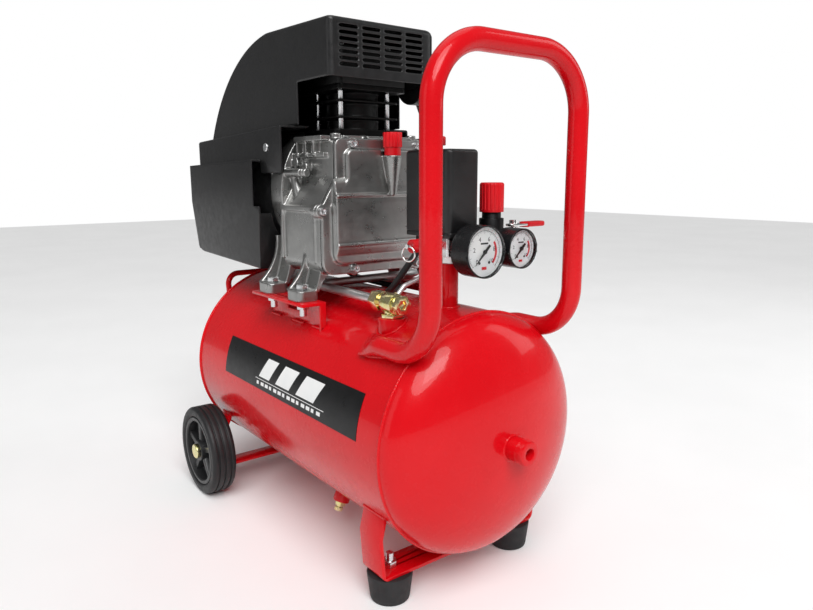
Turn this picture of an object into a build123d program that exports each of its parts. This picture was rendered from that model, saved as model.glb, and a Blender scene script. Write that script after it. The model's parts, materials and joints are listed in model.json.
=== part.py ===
"""Horizontal-tank ("hotdog") direct-drive air compressor, 24 litres, all lengths in millimetres.

The tank lies along Y with its pull handle at the front (-Y) and its wheels at the rear (+Y).
X runs to the right as seen from the front, Z is up, and the floor is at Z = 0.
Everything is drawn with Y = 0 near the middle of the tank and written with Y = 0 at the middle of the
whole machine, so the origin of the written parts is the bottom centre of the machine.
"""
from build123d import *
import os
from math import cos, pi, radians, sin, sqrt, tan

os.makedirs("parts", exist_ok=True)

# ---------------------------------------------------------------- driving dimensions
TANK_R = 125.0              # outer radius of the pressed tank
TANK_Z = 168.0              # height of the tank's axis
WALL = 2.5                  # tank steel
SEAM_FRONT, SEAM_REAR = -209.0, 223.0
DISH_DEPTH = 50.0           # each dished end

MACHINE_FRONT, MACHINE_REAR = -280.0, 292.0
Y_CENTRE = (MACHINE_FRONT + MACHINE_REAR) / 2

TUBE_R = 10.0               # handle tube
HANDLE_X = 93.0             # handle posts
HANDLE_Y = -245.0
HANDLE_TOP = 540.0

WHEEL_R = 59.5
WHEEL_W = 32.0
WHEEL_X = 137.5             # middle plane of each wheel
WHEEL_Y = 180.0

FOOT_X, FOOT_Y, FOOT_H = 86.0, -172.0, 30.0

SHAFT_Z = 408.0             # crankshaft and motor axis
DECK_Z = 470.0              # top deck of the crankcase
CYL_Y = 15.0                # cylinder axis
BORE_R = 23.5
STROKE = 38.0
ROD_LENGTH = 84.0
HEAD_Z = 526.0              # top face of the cylinder

SADDLE_Z = 290.0            # top of the pump's saddles
PUMP_BOLT_X = 95.0
PUMP_BOLT_Y = (-23.0, 48.0)

RISER_Y = -162.0            # pipe that carries the pressure switch
PORT_Z = 357.0              # axis of the switch manifold's ports
REG_X, REG_Y = 53.0, -168.0 # pressure regulator's axis


def save(piece, name):
    """Centre one finished piece's place, label it and write its STEP file."""
    placed = piece.moved(Location((0, -Y_CENTRE, 0)))
    placed.label = name
    export_step(placed, f"parts/{name}.step")


def both_sides(x, y, z):
    """The same place left and right of the machine's middle plane."""
    return Locations((x, y, z), (-x, y, z))


def private_cylinder(radius, start, end):
    """A plain cylinder from one point to another, for cutting with."""
    axis = Vector(*end) - Vector(*start)
    place = Plane(origin=Vector(*start), z_dir=axis)
    return place * Cylinder(radius, axis.length, align=(Align.CENTER, Align.CENTER, Align.MIN),
                            mode=Mode.PRIVATE)


TANK_OUTSIDE = private_cylinder(TANK_R, (0, -400, TANK_Z), (0, 400, TANK_Z))

# ---------------------------------------------------------------- tank
RISER_R, RISER_TOP = 9.5, 338.0
CHECK_X, CHECK_Y, CHECK_BUNG_R = -60.0, -143.0, 14.0
CHECK_BUNG_TOP = 285.5
DRAIN_TURN = radians(22.5)  # the drain leaves the shell this far left of straight down
DRAIN_Y, DRAIN_BUNG_R = -27.0, 10.0
FRONT_BUNG_R = 12.0
DRAIN_BUNG_END = 141.0      # distance of the drain bung's face from the tank's axis


def drain_point(radius):
    """A point on the drain's radial axis."""
    return (-radius * sin(DRAIN_TURN), DRAIN_Y, TANK_Z - radius * cos(DRAIN_TURN))


def dished_end(seam, direction, bung_radius):
    """A pressed elliptical end; direction is -1 at the front and +1 at the rear."""
    with BuildPart() as end:
        with BuildSketch(Plane.YZ):
            with BuildLine():
                start = 0 if direction > 0 else 90
                EllipticalCenterArc((seam, TANK_Z), DISH_DEPTH, TANK_R, start, arc_size=90)
                EllipticalCenterArc((seam, TANK_Z), DISH_DEPTH - WALL, TANK_R - WALL, start, arc_size=90)
                Line((seam, TANK_Z + TANK_R - WALL), (seam, TANK_Z + TANK_R))
                tip = seam + direction * DISH_DEPTH
                Line((tip - direction * WALL, TANK_Z), (tip, TANK_Z))
            make_face()
        revolve(axis=Axis((0, 0, TANK_Z), (0, 1, 0)))
        if bung_radius:
            add(private_cylinder(bung_radius, (0, seam - 1, TANK_Z), (0, MACHINE_FRONT, TANK_Z)),
                mode=Mode.SUBTRACT)
    return end.part


with BuildPart() as tank_shell:
    with BuildSketch(Plane.XZ.offset(-SEAM_REAR)):
        with Locations((0, TANK_Z)):
            Circle(TANK_R)
            Circle(TANK_R - WALL, mode=Mode.SUBTRACT)
    extrude(amount=SEAM_REAR - SEAM_FRONT)
    add(private_cylinder(RISER_R, (0, RISER_Y, TANK_Z), (0, RISER_Y, 320)), mode=Mode.SUBTRACT)
    add(private_cylinder(CHECK_BUNG_R, (CHECK_X, CHECK_Y, TANK_Z), (CHECK_X, CHECK_Y, 320)),
        mode=Mode.SUBTRACT)
    add(private_cylinder(DRAIN_BUNG_R, drain_point(60), drain_point(150)), mode=Mode.SUBTRACT)
save(tank_shell.part, "tank_shell")
save(dished_end(SEAM_FRONT, -1, FRONT_BUNG_R), "front_dished_end")
save(dished_end(SEAM_REAR, 1, 0), "rear_dished_end")

# Four weld-on fittings: front inspection port, check valve seat, drain seat and switch riser.
PORT_BORE_R = 7.5          # tapping radius of a 3/8 pipe thread
FRONT_BORE_R = 5.7         # tapping radius of a 1/4 pipe thread
with BuildPart() as tank_bungs:
    with BuildSketch(Plane.XZ.offset(250)):
        with Locations((0, TANK_Z)):
            Circle(FRONT_BUNG_R)
            Circle(FRONT_BORE_R, mode=Mode.SUBTRACT)
    extrude(amount=-MACHINE_FRONT - 250)
    with BuildSketch(Plane.XY.offset(264)):
        with Locations((CHECK_X, CHECK_Y)):
            Circle(CHECK_BUNG_R)
            Circle(PORT_BORE_R, mode=Mode.SUBTRACT)
    extrude(amount=CHECK_BUNG_TOP - 264)
    with BuildSketch(Plane.XY.offset(284)):
        with Locations((0, RISER_Y)):
            Circle(RISER_R)
            Circle(PORT_BORE_R, mode=Mode.SUBTRACT)
    extrude(amount=RISER_TOP - 284)
    drain_face = Plane(origin=drain_point(119), z_dir=Vector(*drain_point(2)) - Vector(*drain_point(1)))
    with BuildSketch(drain_face):
        Circle(DRAIN_BUNG_R)
        Circle(PORT_BORE_R, mode=Mode.SUBTRACT)
    extrude(amount=DRAIN_BUNG_END - 119)
save(tank_bungs.part, "tank_bungs")

LABEL_LOW, LABEL_HIGH = 4.5, 26.0    # degrees above the tank's horizontal middle plane
with BuildPart() as side_label:
    with BuildSketch(Plane.XZ.offset(-135)):
        with BuildLine():
            centre = (0, TANK_Z)
            outer_arc = CenterArc(centre, TANK_R + 0.4, 180 - LABEL_HIGH, LABEL_HIGH - LABEL_LOW)
            inner_arc = CenterArc(centre, TANK_R, 180 - LABEL_HIGH, LABEL_HIGH - LABEL_LOW)
            Line(outer_arc @ 0, inner_arc @ 0)
            Line(outer_arc @ 1, inner_arc @ 1)
        make_face()
    extrude(amount=135 + 172)
save(side_label.part, "side_label")

# ---------------------------------------------------------------- handle and grip
SHOULDER_Z = TANK_Z + sqrt((TANK_R + TUBE_R) ** 2 - HANDLE_X ** 2)
HANDLE_END_Y = -140.0
with BuildPart() as handle_tube:
    with BuildLine() as handle_route:
        corners = [(-HANDLE_X, HANDLE_END_Y, SHOULDER_Z), (-HANDLE_X, HANDLE_Y, SHOULDER_Z),
                   (-HANDLE_X, HANDLE_Y, HANDLE_TOP), (HANDLE_X, HANDLE_Y, HANDLE_TOP),
                   (HANDLE_X, HANDLE_Y, SHOULDER_Z), (HANDLE_X, HANDLE_END_Y, SHOULDER_Z)]
        FilletPolyline(*corners, radius=[48, 56, 56, 48])
    with BuildSketch(Plane(origin=corners[0], z_dir=(0, -1, 0))):
        Circle(TUBE_R)
        Circle(TUBE_R - 1.5, mode=Mode.SUBTRACT)
    sweep()
save(handle_tube.part, "handle_tube")

GRIP_ROD_R = 4.0
GRIP_X, GRIP_Y, GRIP_Z = 66.0, 254.0, 286.0
rear_dome = private_cylinder(TANK_R, (0, 0, TANK_Z), (0, SEAM_REAR, TANK_Z))
with BuildPart() as dome_tool:
    with BuildSketch(Plane.YZ):
        with BuildLine():
            EllipticalCenterArc((SEAM_REAR, TANK_Z), DISH_DEPTH, TANK_R, 0, arc_size=90)
            Polyline((SEAM_REAR, TANK_Z + TANK_R), (SEAM_REAR, TANK_Z), (SEAM_REAR + DISH_DEPTH, TANK_Z))
        make_face()
    revolve(axis=Axis((0, 0, TANK_Z), (0, 1, 0)))
with BuildPart() as rear_grip:
    with BuildLine():
        grip_corners = [(-GRIP_X, GRIP_Y - 8, 236), (-GRIP_X, GRIP_Y, GRIP_Z),
                        (GRIP_X, GRIP_Y, GRIP_Z), (GRIP_X, GRIP_Y - 8, 236)]
        FilletPolyline(*grip_corners, radius=16)
    with BuildSketch(Plane(origin=grip_corners[0], z_dir=(0, 8, 50))):
        Circle(GRIP_ROD_R)
    sweep()
    add(dome_tool.part, mode=Mode.SUBTRACT)
    add(rear_dome, mode=Mode.SUBTRACT)
save(rear_grip.part, "rear_grip_rod")

# ---------------------------------------------------------------- saddles, foot and axle brackets
SADDLE_FRONT, SADDLE_BACK = -49.0, 74.0
SADDLE_OUT, SADDLE_WEB, SADDLE_T = 111.0, 84.0, 3.5


def saddle(side):
    """One formed bracket: outward flange, web down to the shell and a narrow lip at its front end."""
    with BuildPart() as bracket:
        with BuildSketch(Plane.XZ.offset(-SADDLE_BACK)):
            with BuildLine():
                Polyline((side * SADDLE_OUT, SADDLE_Z), (side * (SADDLE_WEB - SADDLE_T), SADDLE_Z),
                         (side * (SADDLE_WEB - SADDLE_T), TANK_Z + 60), (side * SADDLE_WEB, TANK_Z + 60),
                         (side * SADDLE_WEB, SADDLE_Z - SADDLE_T), (side * SADDLE_OUT, SADDLE_Z - SADDLE_T),
                         close=True)
            make_face()
        extrude(amount=SADDLE_BACK - SADDLE_FRONT)
        with BuildSketch(Plane.XZ.offset(-SADDLE_FRONT)):
            with Locations((side * (SADDLE_WEB + 2), SADDLE_Z - 20)):
                Rectangle(4, 40)
        extrude(amount=-SADDLE_T)
        with Locations((side * (SADDLE_WEB - SADDLE_T / 2), 12, SADDLE_Z - 14)):
            Box(3 * SADDLE_T, 44, 8, mode=Mode.SUBTRACT)
        with Locations(*[(side * PUMP_BOLT_X, y, SADDLE_Z) for y in PUMP_BOLT_Y]):
            Cylinder(4.5, 20, mode=Mode.SUBTRACT)
        add(TANK_OUTSIDE, mode=Mode.SUBTRACT)
    return bracket.part


save(Compound(children=[saddle(-1), saddle(1)]), "pump_saddles")

STRIP_T = 4.0
FOOT_STRIP_FRONT, FOOT_STRIP_BACK = -190.0, -154.0
with BuildPart() as foot_bracket:
    with BuildSketch(Plane.XZ.offset(-FOOT_STRIP_BACK)):
        with BuildLine():
            Polyline((-100.6, 118), (-110.5, 76), (-107, FOOT_H), (107, FOOT_H), (110.5, 76), (100.6, 118),
                     close=True)
        outline = make_face()
        fillet(outline.vertices().group_by(Axis.Y)[0], 9)
        with BuildLine():
            floor_z = FOOT_H + STRIP_T
            Polyline((-96.5, 118), (-106.4, 76), (-103.2, floor_z),
                     (103.2, floor_z), (106.4, 76), (96.5, 118),
                     close=True)
        inside = make_face(mode=Mode.PRIVATE)
        add(inside, mode=Mode.SUBTRACT)
    extrude(amount=FOOT_STRIP_BACK - FOOT_STRIP_FRONT)
    add(TANK_OUTSIDE, mode=Mode.SUBTRACT)
    with both_sides(FOOT_X, FOOT_Y, FOOT_H):
        Cylinder(4.5, 20, mode=Mode.SUBTRACT)
save(foot_bracket.part, "front_foot_bracket")

AXLE_STRIP_W = 24.0
AXLE_R = 6.0
AXLE_LEG_X = 118.0
with BuildPart() as axle_bracket:
    with BuildSketch(Plane.XZ.offset(-WHEEL_Y - AXLE_STRIP_W / 2)):
        with BuildLine():
            Polyline((-102, 118), (-AXLE_LEG_X, 84), (-AXLE_LEG_X, 31), (AXLE_LEG_X, 31), (AXLE_LEG_X, 84),
                     (102, 118), close=True)
        make_face()
        with BuildLine():
            bend_x = AXLE_LEG_X - STRIP_T
            Polyline((-97.5, 118), (-bend_x, 83), (-bend_x, 31 + STRIP_T), (bend_x, 31 + STRIP_T),
                     (bend_x, 83), (97.5, 118), close=True)
        hollow = make_face(mode=Mode.PRIVATE)
        add(hollow, mode=Mode.SUBTRACT)
    extrude(amount=AXLE_STRIP_W)
    add(TANK_OUTSIDE, mode=Mode.SUBTRACT)
    with Locations(Plane.YZ):
        with Locations((WHEEL_Y, WHEEL_R, 0)):
            Cylinder(AXLE_R, 260, mode=Mode.SUBTRACT)
save(axle_bracket.part, "axle_bracket")

with BuildPart() as rubber_feet:
    with BuildSketch(Plane.XZ):
        with BuildLine():
            Polyline((8.5, 0), (19, 0), (20.5, 1.5), (24, FOOT_H), (4.2, FOOT_H), (4.2, 9), (8.5, 9),
                     close=True)
        make_face()
    revolve(axis=Axis.Z)
feet_places = [Location((side * FOOT_X, FOOT_Y, 0)) for side in (-1, 1)]
save(Compound(children=[rubber_feet.part.moved(place) for place in feet_places]), "rubber_feet")

# ---------------------------------------------------------------- wheels
HUB_R = 14.0
RIM_R = 46.0


def wheel_pieces(side):
    """The moulded rim and the rubber tyre of one wheel, on the side given by -1 or +1."""
    with BuildPart() as rim:
        with BuildSketch(Plane.YZ.offset(-15)):
            Circle(RIM_R)
            Circle(RIM_R - 5, mode=Mode.SUBTRACT)
            Circle(HUB_R)
        extrude(amount=30)
        with BuildSketch(Plane.YZ.offset(-3)):
            Circle(RIM_R - 2)
        extrude(amount=4)
        for start, reach in ((-13, 10), (1, 10)):
            with BuildSketch(Plane.YZ.offset(start)):
                with PolarLocations(0, 5, start_angle=90):
                    with Locations(((RIM_R + HUB_R - 6) / 2, 0)):
                        Rectangle(RIM_R - HUB_R, 9)
            extrude(amount=reach)
        with Locations(Plane.YZ):
            Cylinder(AXLE_R + 0.08, 60, mode=Mode.SUBTRACT)
    with BuildPart() as tyre:
        with BuildSketch(Plane.XZ):
            with Locations((0, (RIM_R + WHEEL_R) / 2)):
                RectangleRounded(WHEEL_W, WHEEL_R - RIM_R, 5)
            with Locations((0, RIM_R + 1.5)):
                Rectangle(WHEEL_W - 6, 3)
            with Locations((-8, WHEEL_R), (0, WHEEL_R), (8, WHEEL_R)):
                Rectangle(1.8, 3.6, mode=Mode.SUBTRACT)
        revolve(axis=Axis.X)
    place = Location((side * WHEEL_X, WHEEL_Y, WHEEL_R))
    return rim.part.moved(place), tyre.part.moved(place)


for side, word in ((-1, "left"), (1, "right")):
    rim_part, tyre_part = wheel_pieces(side)
    save(rim_part, f"wheel_rim_{word}")
    save(tyre_part, f"wheel_tyre_{word}")

HUB_OUT = WHEEL_X + 15.0
with BuildPart() as axle_bolt:
    with BuildSketch(Plane.YZ.offset(104)):
        Circle(AXLE_R)
    extrude(amount=HUB_OUT + 0.5 - 104)
    with BuildSketch(Plane.YZ.offset(HUB_OUT + 0.5)):
        Circle(9.8)
    extrude(amount=4)
    fillet(axle_bolt.edges().group_by(Axis.X)[-1], 1.5)
    with BuildSketch(Plane.YZ.offset(AXLE_LEG_X)):
        Circle(10)
    extrude(amount=3)
axle_bolt_right = axle_bolt.part.moved(Location((0, WHEEL_Y, WHEEL_R)))
save(Compound(children=[axle_bolt_right, mirror(axle_bolt_right, about=Plane.YZ)]), "axle_bolts")

# ---------------------------------------------------------------- fasteners of feet, saddles and axle


def hex_nut(across_flats, height, hole_r):
    """A plain hexagon nut standing on the XY plane."""
    with BuildPart() as nut:
        with BuildSketch():
            RegularPolygon(across_flats / 2, 6, major_radius=False)
            Circle(hole_r, mode=Mode.SUBTRACT)
        extrude(amount=height)
    return nut.part


def hex_bolt(across_flats, head, shank_r, length):
    """A bolt hanging down from the XY plane, its head above."""
    with BuildPart() as bolt:
        with BuildSketch():
            RegularPolygon(across_flats / 2, 6, major_radius=False)
        extrude(amount=head)
        with BuildSketch():
            Circle(shank_r)
        extrude(amount=-length)
    return bolt.part


PAD_T = 12.0
m8_nut = hex_nut(13, 6.5, 4.0)
nuts = [m8_nut.moved(Location((side * FOOT_X, FOOT_Y, FOOT_H + STRIP_T))) for side in (-1, 1)]
nuts += [m8_nut.moved(Location((side * PUMP_BOLT_X, y, SADDLE_Z - SADDLE_T - 6.5)))
         for side in (-1, 1) for y in PUMP_BOLT_Y]
axle_nut = hex_nut(19, 9, AXLE_R)
nuts += [axle_nut.moved(Location((side * (AXLE_LEG_X - STRIP_T), WHEEL_Y, WHEEL_R), (0, -side * 90, 0)))
         for side in (-1, 1)]
save(Compound(children=nuts), "hex_nuts")

foot_bolt = hex_bolt(13, 5.5, 4.0, 40).moved(Location((0, 0, 9), (180, 0, 0)))
pump_bolt = hex_bolt(13, 5.5, 4.0, 30)
bolts = [foot_bolt.moved(Location((side * FOOT_X, FOOT_Y, 0))) for side in (-1, 1)]
bolts += [pump_bolt.moved(Location((side * PUMP_BOLT_X, y, SADDLE_Z + PAD_T)))
          for side in (-1, 1) for y in PUMP_BOLT_Y]
save(Compound(children=bolts), "mount_bolts")

# ---------------------------------------------------------------- drain
with BuildPart() as drain_body:
    with BuildSketch(drain_face.offset(7)):
        Circle(PORT_BORE_R)
    extrude(amount=15)
    with BuildSketch(drain_face.offset(22)):
        RegularPolygon(6, 6, major_radius=False)
    extrude(amount=4.5)
    with BuildSketch(drain_face.offset(26.5)):
        Circle(4.2)
    extrude(amount=2)
    with BuildSketch(drain_face.offset(7)):
        Circle(2.6)
    extrude(amount=22, mode=Mode.SUBTRACT)
save(drain_body.part, "drain_valve_body")

with BuildPart() as drain_screw:
    with BuildSketch(drain_face.offset(14)):
        Circle(2.55)
    extrude(amount=15)
    with BuildSketch(drain_face.offset(29)):
        Circle(5)
    extrude(amount=4.5)
    with BuildSketch(drain_face.offset(30.5)):
        with PolarLocations(5.4, 12):
            Circle(0.8)
    extrude(amount=3, mode=Mode.SUBTRACT)
save(drain_screw.part, "drain_screw")

# ---------------------------------------------------------------- check valve and pipes
PIPE_R = 5.0
PIPE_Z = 300.0
BODY_FRONT, BODY_BACK = CHECK_Y - 14.0, CHECK_Y + 16.0
UNLOADER_START = (CHECK_X + 8, CHECK_Y, PIPE_Z + 8)
UNLOADER_BEND = (CHECK_X + 16, CHECK_Y, PIPE_Z + 16)
with BuildPart() as check_valve:
    with BuildSketch(Plane.XY.offset(274)):
        with Locations((CHECK_X, CHECK_Y)):
            Circle(PORT_BORE_R)
    extrude(amount=PIPE_Z - 274)
    with BuildSketch(Plane.XY.offset(CHECK_BUNG_TOP)):
        with Locations((CHECK_X, CHECK_Y)):
            RegularPolygon(10.5, 6, major_radius=False)
    extrude(amount=4)
    with BuildSketch(Plane.XZ.offset(-BODY_BACK)):
        with Locations((CHECK_X, PIPE_Z)):
            Circle(8)
    extrude(amount=BODY_BACK - BODY_FRONT)
    with BuildSketch(Plane.XZ.offset(-CHECK_Y - 8)):
        with Locations((CHECK_X, PIPE_Z)):
            Circle(10.5)
    extrude(amount=18)
    with BuildSketch(Plane.XZ.offset(-BODY_FRONT)):
        with Locations((CHECK_X, PIPE_Z)):
            RegularPolygon(9, 6, major_radius=False)
    extrude(amount=5)
    with BuildSketch(Plane.XZ.offset(-BODY_FRONT + 5)):
        with Locations((CHECK_X, PIPE_Z)):
            RegularPolygon(4, 6, major_radius=False)
    extrude(amount=-4, mode=Mode.SUBTRACT)
    with BuildSketch(Plane.XZ.offset(-BODY_BACK)):
        with Locations((CHECK_X, PIPE_Z)):
            Circle(PIPE_R)
    extrude(amount=10, mode=Mode.SUBTRACT)
    add(private_cylinder(4, (CHECK_X, CHECK_Y, PIPE_Z), UNLOADER_START))
save(check_valve.part, "check_valve")

PIPE_SIDE_X, PIPE_UP_Y, HEAD_PORT_Y, HEAD_PORT_Z = 112.0, 12.0, 45.0, 547.0
HEAD_HALF_X = 46.0
with BuildPart() as discharge_pipe:
    with BuildLine():
        pipe_corners = [(CHECK_X, BODY_BACK, PIPE_Z), (CHECK_X, PIPE_UP_Y, PIPE_Z),
                        (PIPE_SIDE_X, PIPE_UP_Y, PIPE_Z), (PIPE_SIDE_X, PIPE_UP_Y, 488),
                        (PIPE_SIDE_X, HEAD_PORT_Y, HEAD_PORT_Z), (HEAD_HALF_X, HEAD_PORT_Y, HEAD_PORT_Z)]
        FilletPolyline(*pipe_corners, radius=[24, 28, 60, 22])
    with BuildSketch(Plane(origin=pipe_corners[0], z_dir=(0, 1, 0))):
        Circle(PIPE_R)
        Circle(PIPE_R - 1, mode=Mode.SUBTRACT)
    sweep()
save(discharge_pipe.part, "discharge_pipe")

pipe_nut = hex_nut(19, 12, PIPE_R)
head_pipe_nut = hex_nut(17, 12, PIPE_R)
save(Compound(children=[
    pipe_nut.moved(Location((CHECK_X, BODY_BACK, PIPE_Z), (-90, 0, 0))),
    head_pipe_nut.moved(Location((HEAD_HALF_X, HEAD_PORT_Y, HEAD_PORT_Z), (0, 90, 0)))]), "discharge_nuts")

SWITCH_Z, SWITCH_TOP = 365.0, 452.0
with BuildPart() as unloader_tube:
    with BuildLine():
        tube_corners = [UNLOADER_START, UNLOADER_BEND, (-4, CHECK_Y, 328), (-4, CHECK_Y, SWITCH_Z)]
        FilletPolyline(*tube_corners, radius=[9, 12])
    with BuildSketch(Plane(origin=tube_corners[0], z_dir=(1, 0, 1))):
        Circle(2.5)
    sweep()
save(unloader_tube.part, "unloader_tube")

# ---------------------------------------------------------------- pressure switch and its manifold
SWITCH_X, SWITCH_Y, SWITCH_W, SWITCH_L = 3.0, -145.0, 42.0, 72.0
MANIFOLD_HALF = 15.0
with BuildPart() as manifold:
    with BuildSketch(Plane.XY.offset(RISER_TOP - 11)):
        with Locations((0, RISER_Y)):
            Circle(PORT_BORE_R)
    extrude(amount=11)
    with BuildSketch(Plane.XY.offset(RISER_TOP)):
        with Locations((0, RISER_Y)):
            RegularPolygon(8, 6, major_radius=False)
    extrude(amount=8)
    with BuildSketch(Plane.XY.offset(RISER_TOP + 8)):
        with Locations((0, RISER_Y)):
            RectangleRounded(2 * MANIFOLD_HALF, 2 * MANIFOLD_HALF, 3)
    extrude(amount=SWITCH_Z - RISER_TOP - 8)
save(manifold.part, "switch_manifold")

with BuildPart() as switch_base:
    with BuildSketch(Plane.XY.offset(SWITCH_Z)):
        with Locations((SWITCH_X, SWITCH_Y)):
            RectangleRounded(SWITCH_W, SWITCH_L, 7)
    extrude(amount=5)
    with BuildSketch(Plane.XY.offset(SWITCH_Z + 5)):
        with Locations((SWITCH_X, SWITCH_Y - 2)):
            RectangleRounded(30, 44, 3)
    extrude(amount=38)
save(switch_base.part, "pressure_switch_base")

with BuildPart() as switch_cover:
    with BuildSketch(Plane.XY.offset(SWITCH_Z + 5)):
        with Locations((SWITCH_X, SWITCH_Y)):
            RectangleRounded(SWITCH_W, SWITCH_L, 7)
    extrude(amount=SWITCH_TOP - SWITCH_Z - 5)
    fillet(switch_cover.edges().group_by(Axis.Z)[-1], 4)
    offset(amount=-2.5, openings=switch_cover.faces().sort_by(Axis.Z)[0])
    with Locations((-6, -150, SWITCH_TOP)):
        Cylinder(5.5, 20, mode=Mode.SUBTRACT)
save(switch_cover.part, "pressure_switch_cover")

with BuildPart() as switch_knob:
    with BuildSketch(Plane.XY.offset(SWITCH_TOP - 26)):
        with Locations((-6, -150)):
            Circle(5.2)
    extrude(amount=30)
    with BuildSketch(Plane.XY.offset(SWITCH_TOP + 4)):
        with Locations((-6, -150)):
            Circle(8)
    extrude(amount=9)
    fillet(switch_knob.edges().group_by(Axis.Z)[-1], 2)
save(switch_knob.part, "switch_knob")

SAFETY_Y, SAFETY_END = -152.0, 42.0
with BuildPart() as safety_body:
    with BuildSketch(Plane.YZ.offset(-MANIFOLD_HALF - 9)):
        with Locations((SAFETY_Y, PORT_Z)):
            RegularPolygon(7, 6, major_radius=False)
    extrude(amount=9)
    with BuildSketch(Plane.YZ.offset(-SAFETY_END)):
        with Locations((SAFETY_Y, PORT_Z)):
            Circle(6.8)
            Circle(2.4, mode=Mode.SUBTRACT)
    extrude(amount=SAFETY_END - MANIFOLD_HALF - 9)
save(safety_body.part, "safety_valve_body")

with BuildPart() as safety_ring:
    with BuildSketch(Plane.YZ.offset(-SAFETY_END - 5.5)):
        with Locations((SAFETY_Y, PORT_Z)):
            Circle(2.35)
    extrude(amount=16)
    with Locations(Plane(origin=(-SAFETY_END - 3.2, SAFETY_Y, PORT_Z - 7.5), z_dir=(1, 0.35, 0))):
        Torus(7.5, 0.9)
save(safety_ring.part, "safety_valve_ring")

# ---------------------------------------------------------------- regulator and outlet valve
with BuildPart() as regulator_body:
    with BuildSketch(Plane.XY.offset(338)):
        with Locations((REG_X, REG_Y)):
            Circle(13)
    extrude(amount=34)
    with BuildSketch(Plane.XY.offset(372)):
        with Locations((REG_X, REG_Y)):
            Circle(13)
    extrude(amount=10)
    with BuildSketch(Plane.XY.offset(382)):
        with Locations((REG_X, REG_Y)):
            Circle(10)
    extrude(amount=12)
    with BuildSketch(Plane.YZ.offset(MANIFOLD_HALF)):
        with Locations((REG_Y, PORT_Z)):
            Circle(8)
    extrude(amount=74 - MANIFOLD_HALF)
    with BuildSketch(Plane.XZ.offset(-REG_Y)):
        with Locations((REG_X, PORT_Z - 4)):
            Circle(7)
    extrude(amount=18)
save(regulator_body.part, "regulator_body")

KNOB_LOW, KNOB_HIGH, KNOB_R = 388.5, 419.0, 12.8
with BuildPart() as regulator_knob:
    with BuildSketch(Plane.XY.offset(KNOB_LOW)):
        with Locations((REG_X, REG_Y)):
            Circle(KNOB_R)
    extrude(amount=KNOB_HIGH - KNOB_LOW)
    fillet(regulator_knob.edges().group_by(Axis.Z)[-1], 2.5)
    with BuildSketch(Plane.XY.offset(KNOB_LOW)):
        with Locations((REG_X, REG_Y)):
            Circle(10.08)
    extrude(amount=5.58, mode=Mode.SUBTRACT)
    with BuildSketch(Plane.XY.offset(KNOB_LOW + 3)):
        with Locations((REG_X, REG_Y)):
            with PolarLocations(KNOB_R + 0.4, 20):
                Circle(1.0)
    extrude(amount=KNOB_HIGH - KNOB_LOW, mode=Mode.SUBTRACT)
save(regulator_knob.part, "regulator_knob")

VALVE_X = 86.0              # lever pivot
OUTLET_R = 6.58             # outside radius of a 1/4 pipe thread
with BuildPart() as outlet_body:
    with BuildSketch(Plane.YZ.offset(74)):
        with Locations((REG_Y, PORT_Z)):
            RegularPolygon(9.5, 6, major_radius=False)
    extrude(amount=6)
    with BuildSketch(Plane.YZ.offset(80)):
        with Locations((REG_Y, PORT_Z)):
            Circle(11)
    extrude(amount=14)
    with BuildSketch(Plane.YZ.offset(94)):
        with Locations((REG_Y, PORT_Z)):
            Circle(OUTLET_R)
    extrude(amount=14)
    with BuildSketch(Plane.XY.offset(PORT_Z)):
        with Locations((VALVE_X, REG_Y)):
            Circle(5)
    extrude(amount=14)
    with BuildSketch(Plane.YZ.offset(74)):
        with Locations((REG_Y, PORT_Z)):
            Circle(5)
    extrude(amount=34, mode=Mode.SUBTRACT)
    with Locations((VALVE_X, REG_Y, PORT_Z)):
        Sphere(8.3, mode=Mode.SUBTRACT)
    with Locations((VALVE_X, REG_Y, PORT_Z + 10)):
        Cylinder(2.58, 24, mode=Mode.SUBTRACT)
save(outlet_body.part, "outlet_valve_body")

LEVER_Z = 372.0
with BuildPart() as outlet_lever:
    with Locations((VALVE_X, REG_Y, PORT_Z)):
        Sphere(8)
    with BuildSketch(Plane.YZ.offset(VALVE_X - 10)):
        with Locations((REG_Y, PORT_Z)):
            Circle(5)
    extrude(amount=20, mode=Mode.SUBTRACT)
    with BuildSketch(Plane.XY.offset(PORT_Z + 7)):
        with Locations((VALVE_X, REG_Y)):
            Circle(2.5)
    extrude(amount=LEVER_Z - PORT_Z - 5)
    with BuildSketch(Plane.XY.offset(LEVER_Z)):
        with Locations((VALVE_X + 17, REG_Y)):
            SlotOverall(52, 12)
    extrude(amount=2.5)
    with BuildSketch(Plane.XY.offset(LEVER_Z + 2.5)):
        with Locations((VALVE_X, REG_Y)):
            RegularPolygon(4, 6, major_radius=False)
    extrude(amount=4)
save(outlet_lever.part, "outlet_valve_lever")

with BuildPart() as lever_grip:
    with BuildSketch(Plane.XY.offset(LEVER_Z - 1.5)):
        with Locations((VALVE_X + 30, REG_Y)):
            SlotOverall(34, 14)
    extrude(amount=5.5)
    add(outlet_lever.part, mode=Mode.SUBTRACT)
save(lever_grip.part, "lever_grip")

# ---------------------------------------------------------------- gauges
GAUGE_FACE_Y = -213.0
GAUGES = {"tank": (4.0, 353.0, 26.0, RISER_Y - MANIFOLD_HALF),
          "outlet": (REG_X + 2, 353.0, 20.5, REG_Y - 18)}
GAUGE_DEPTH, GAUGE_RIM = 26.0, 1.6


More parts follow.
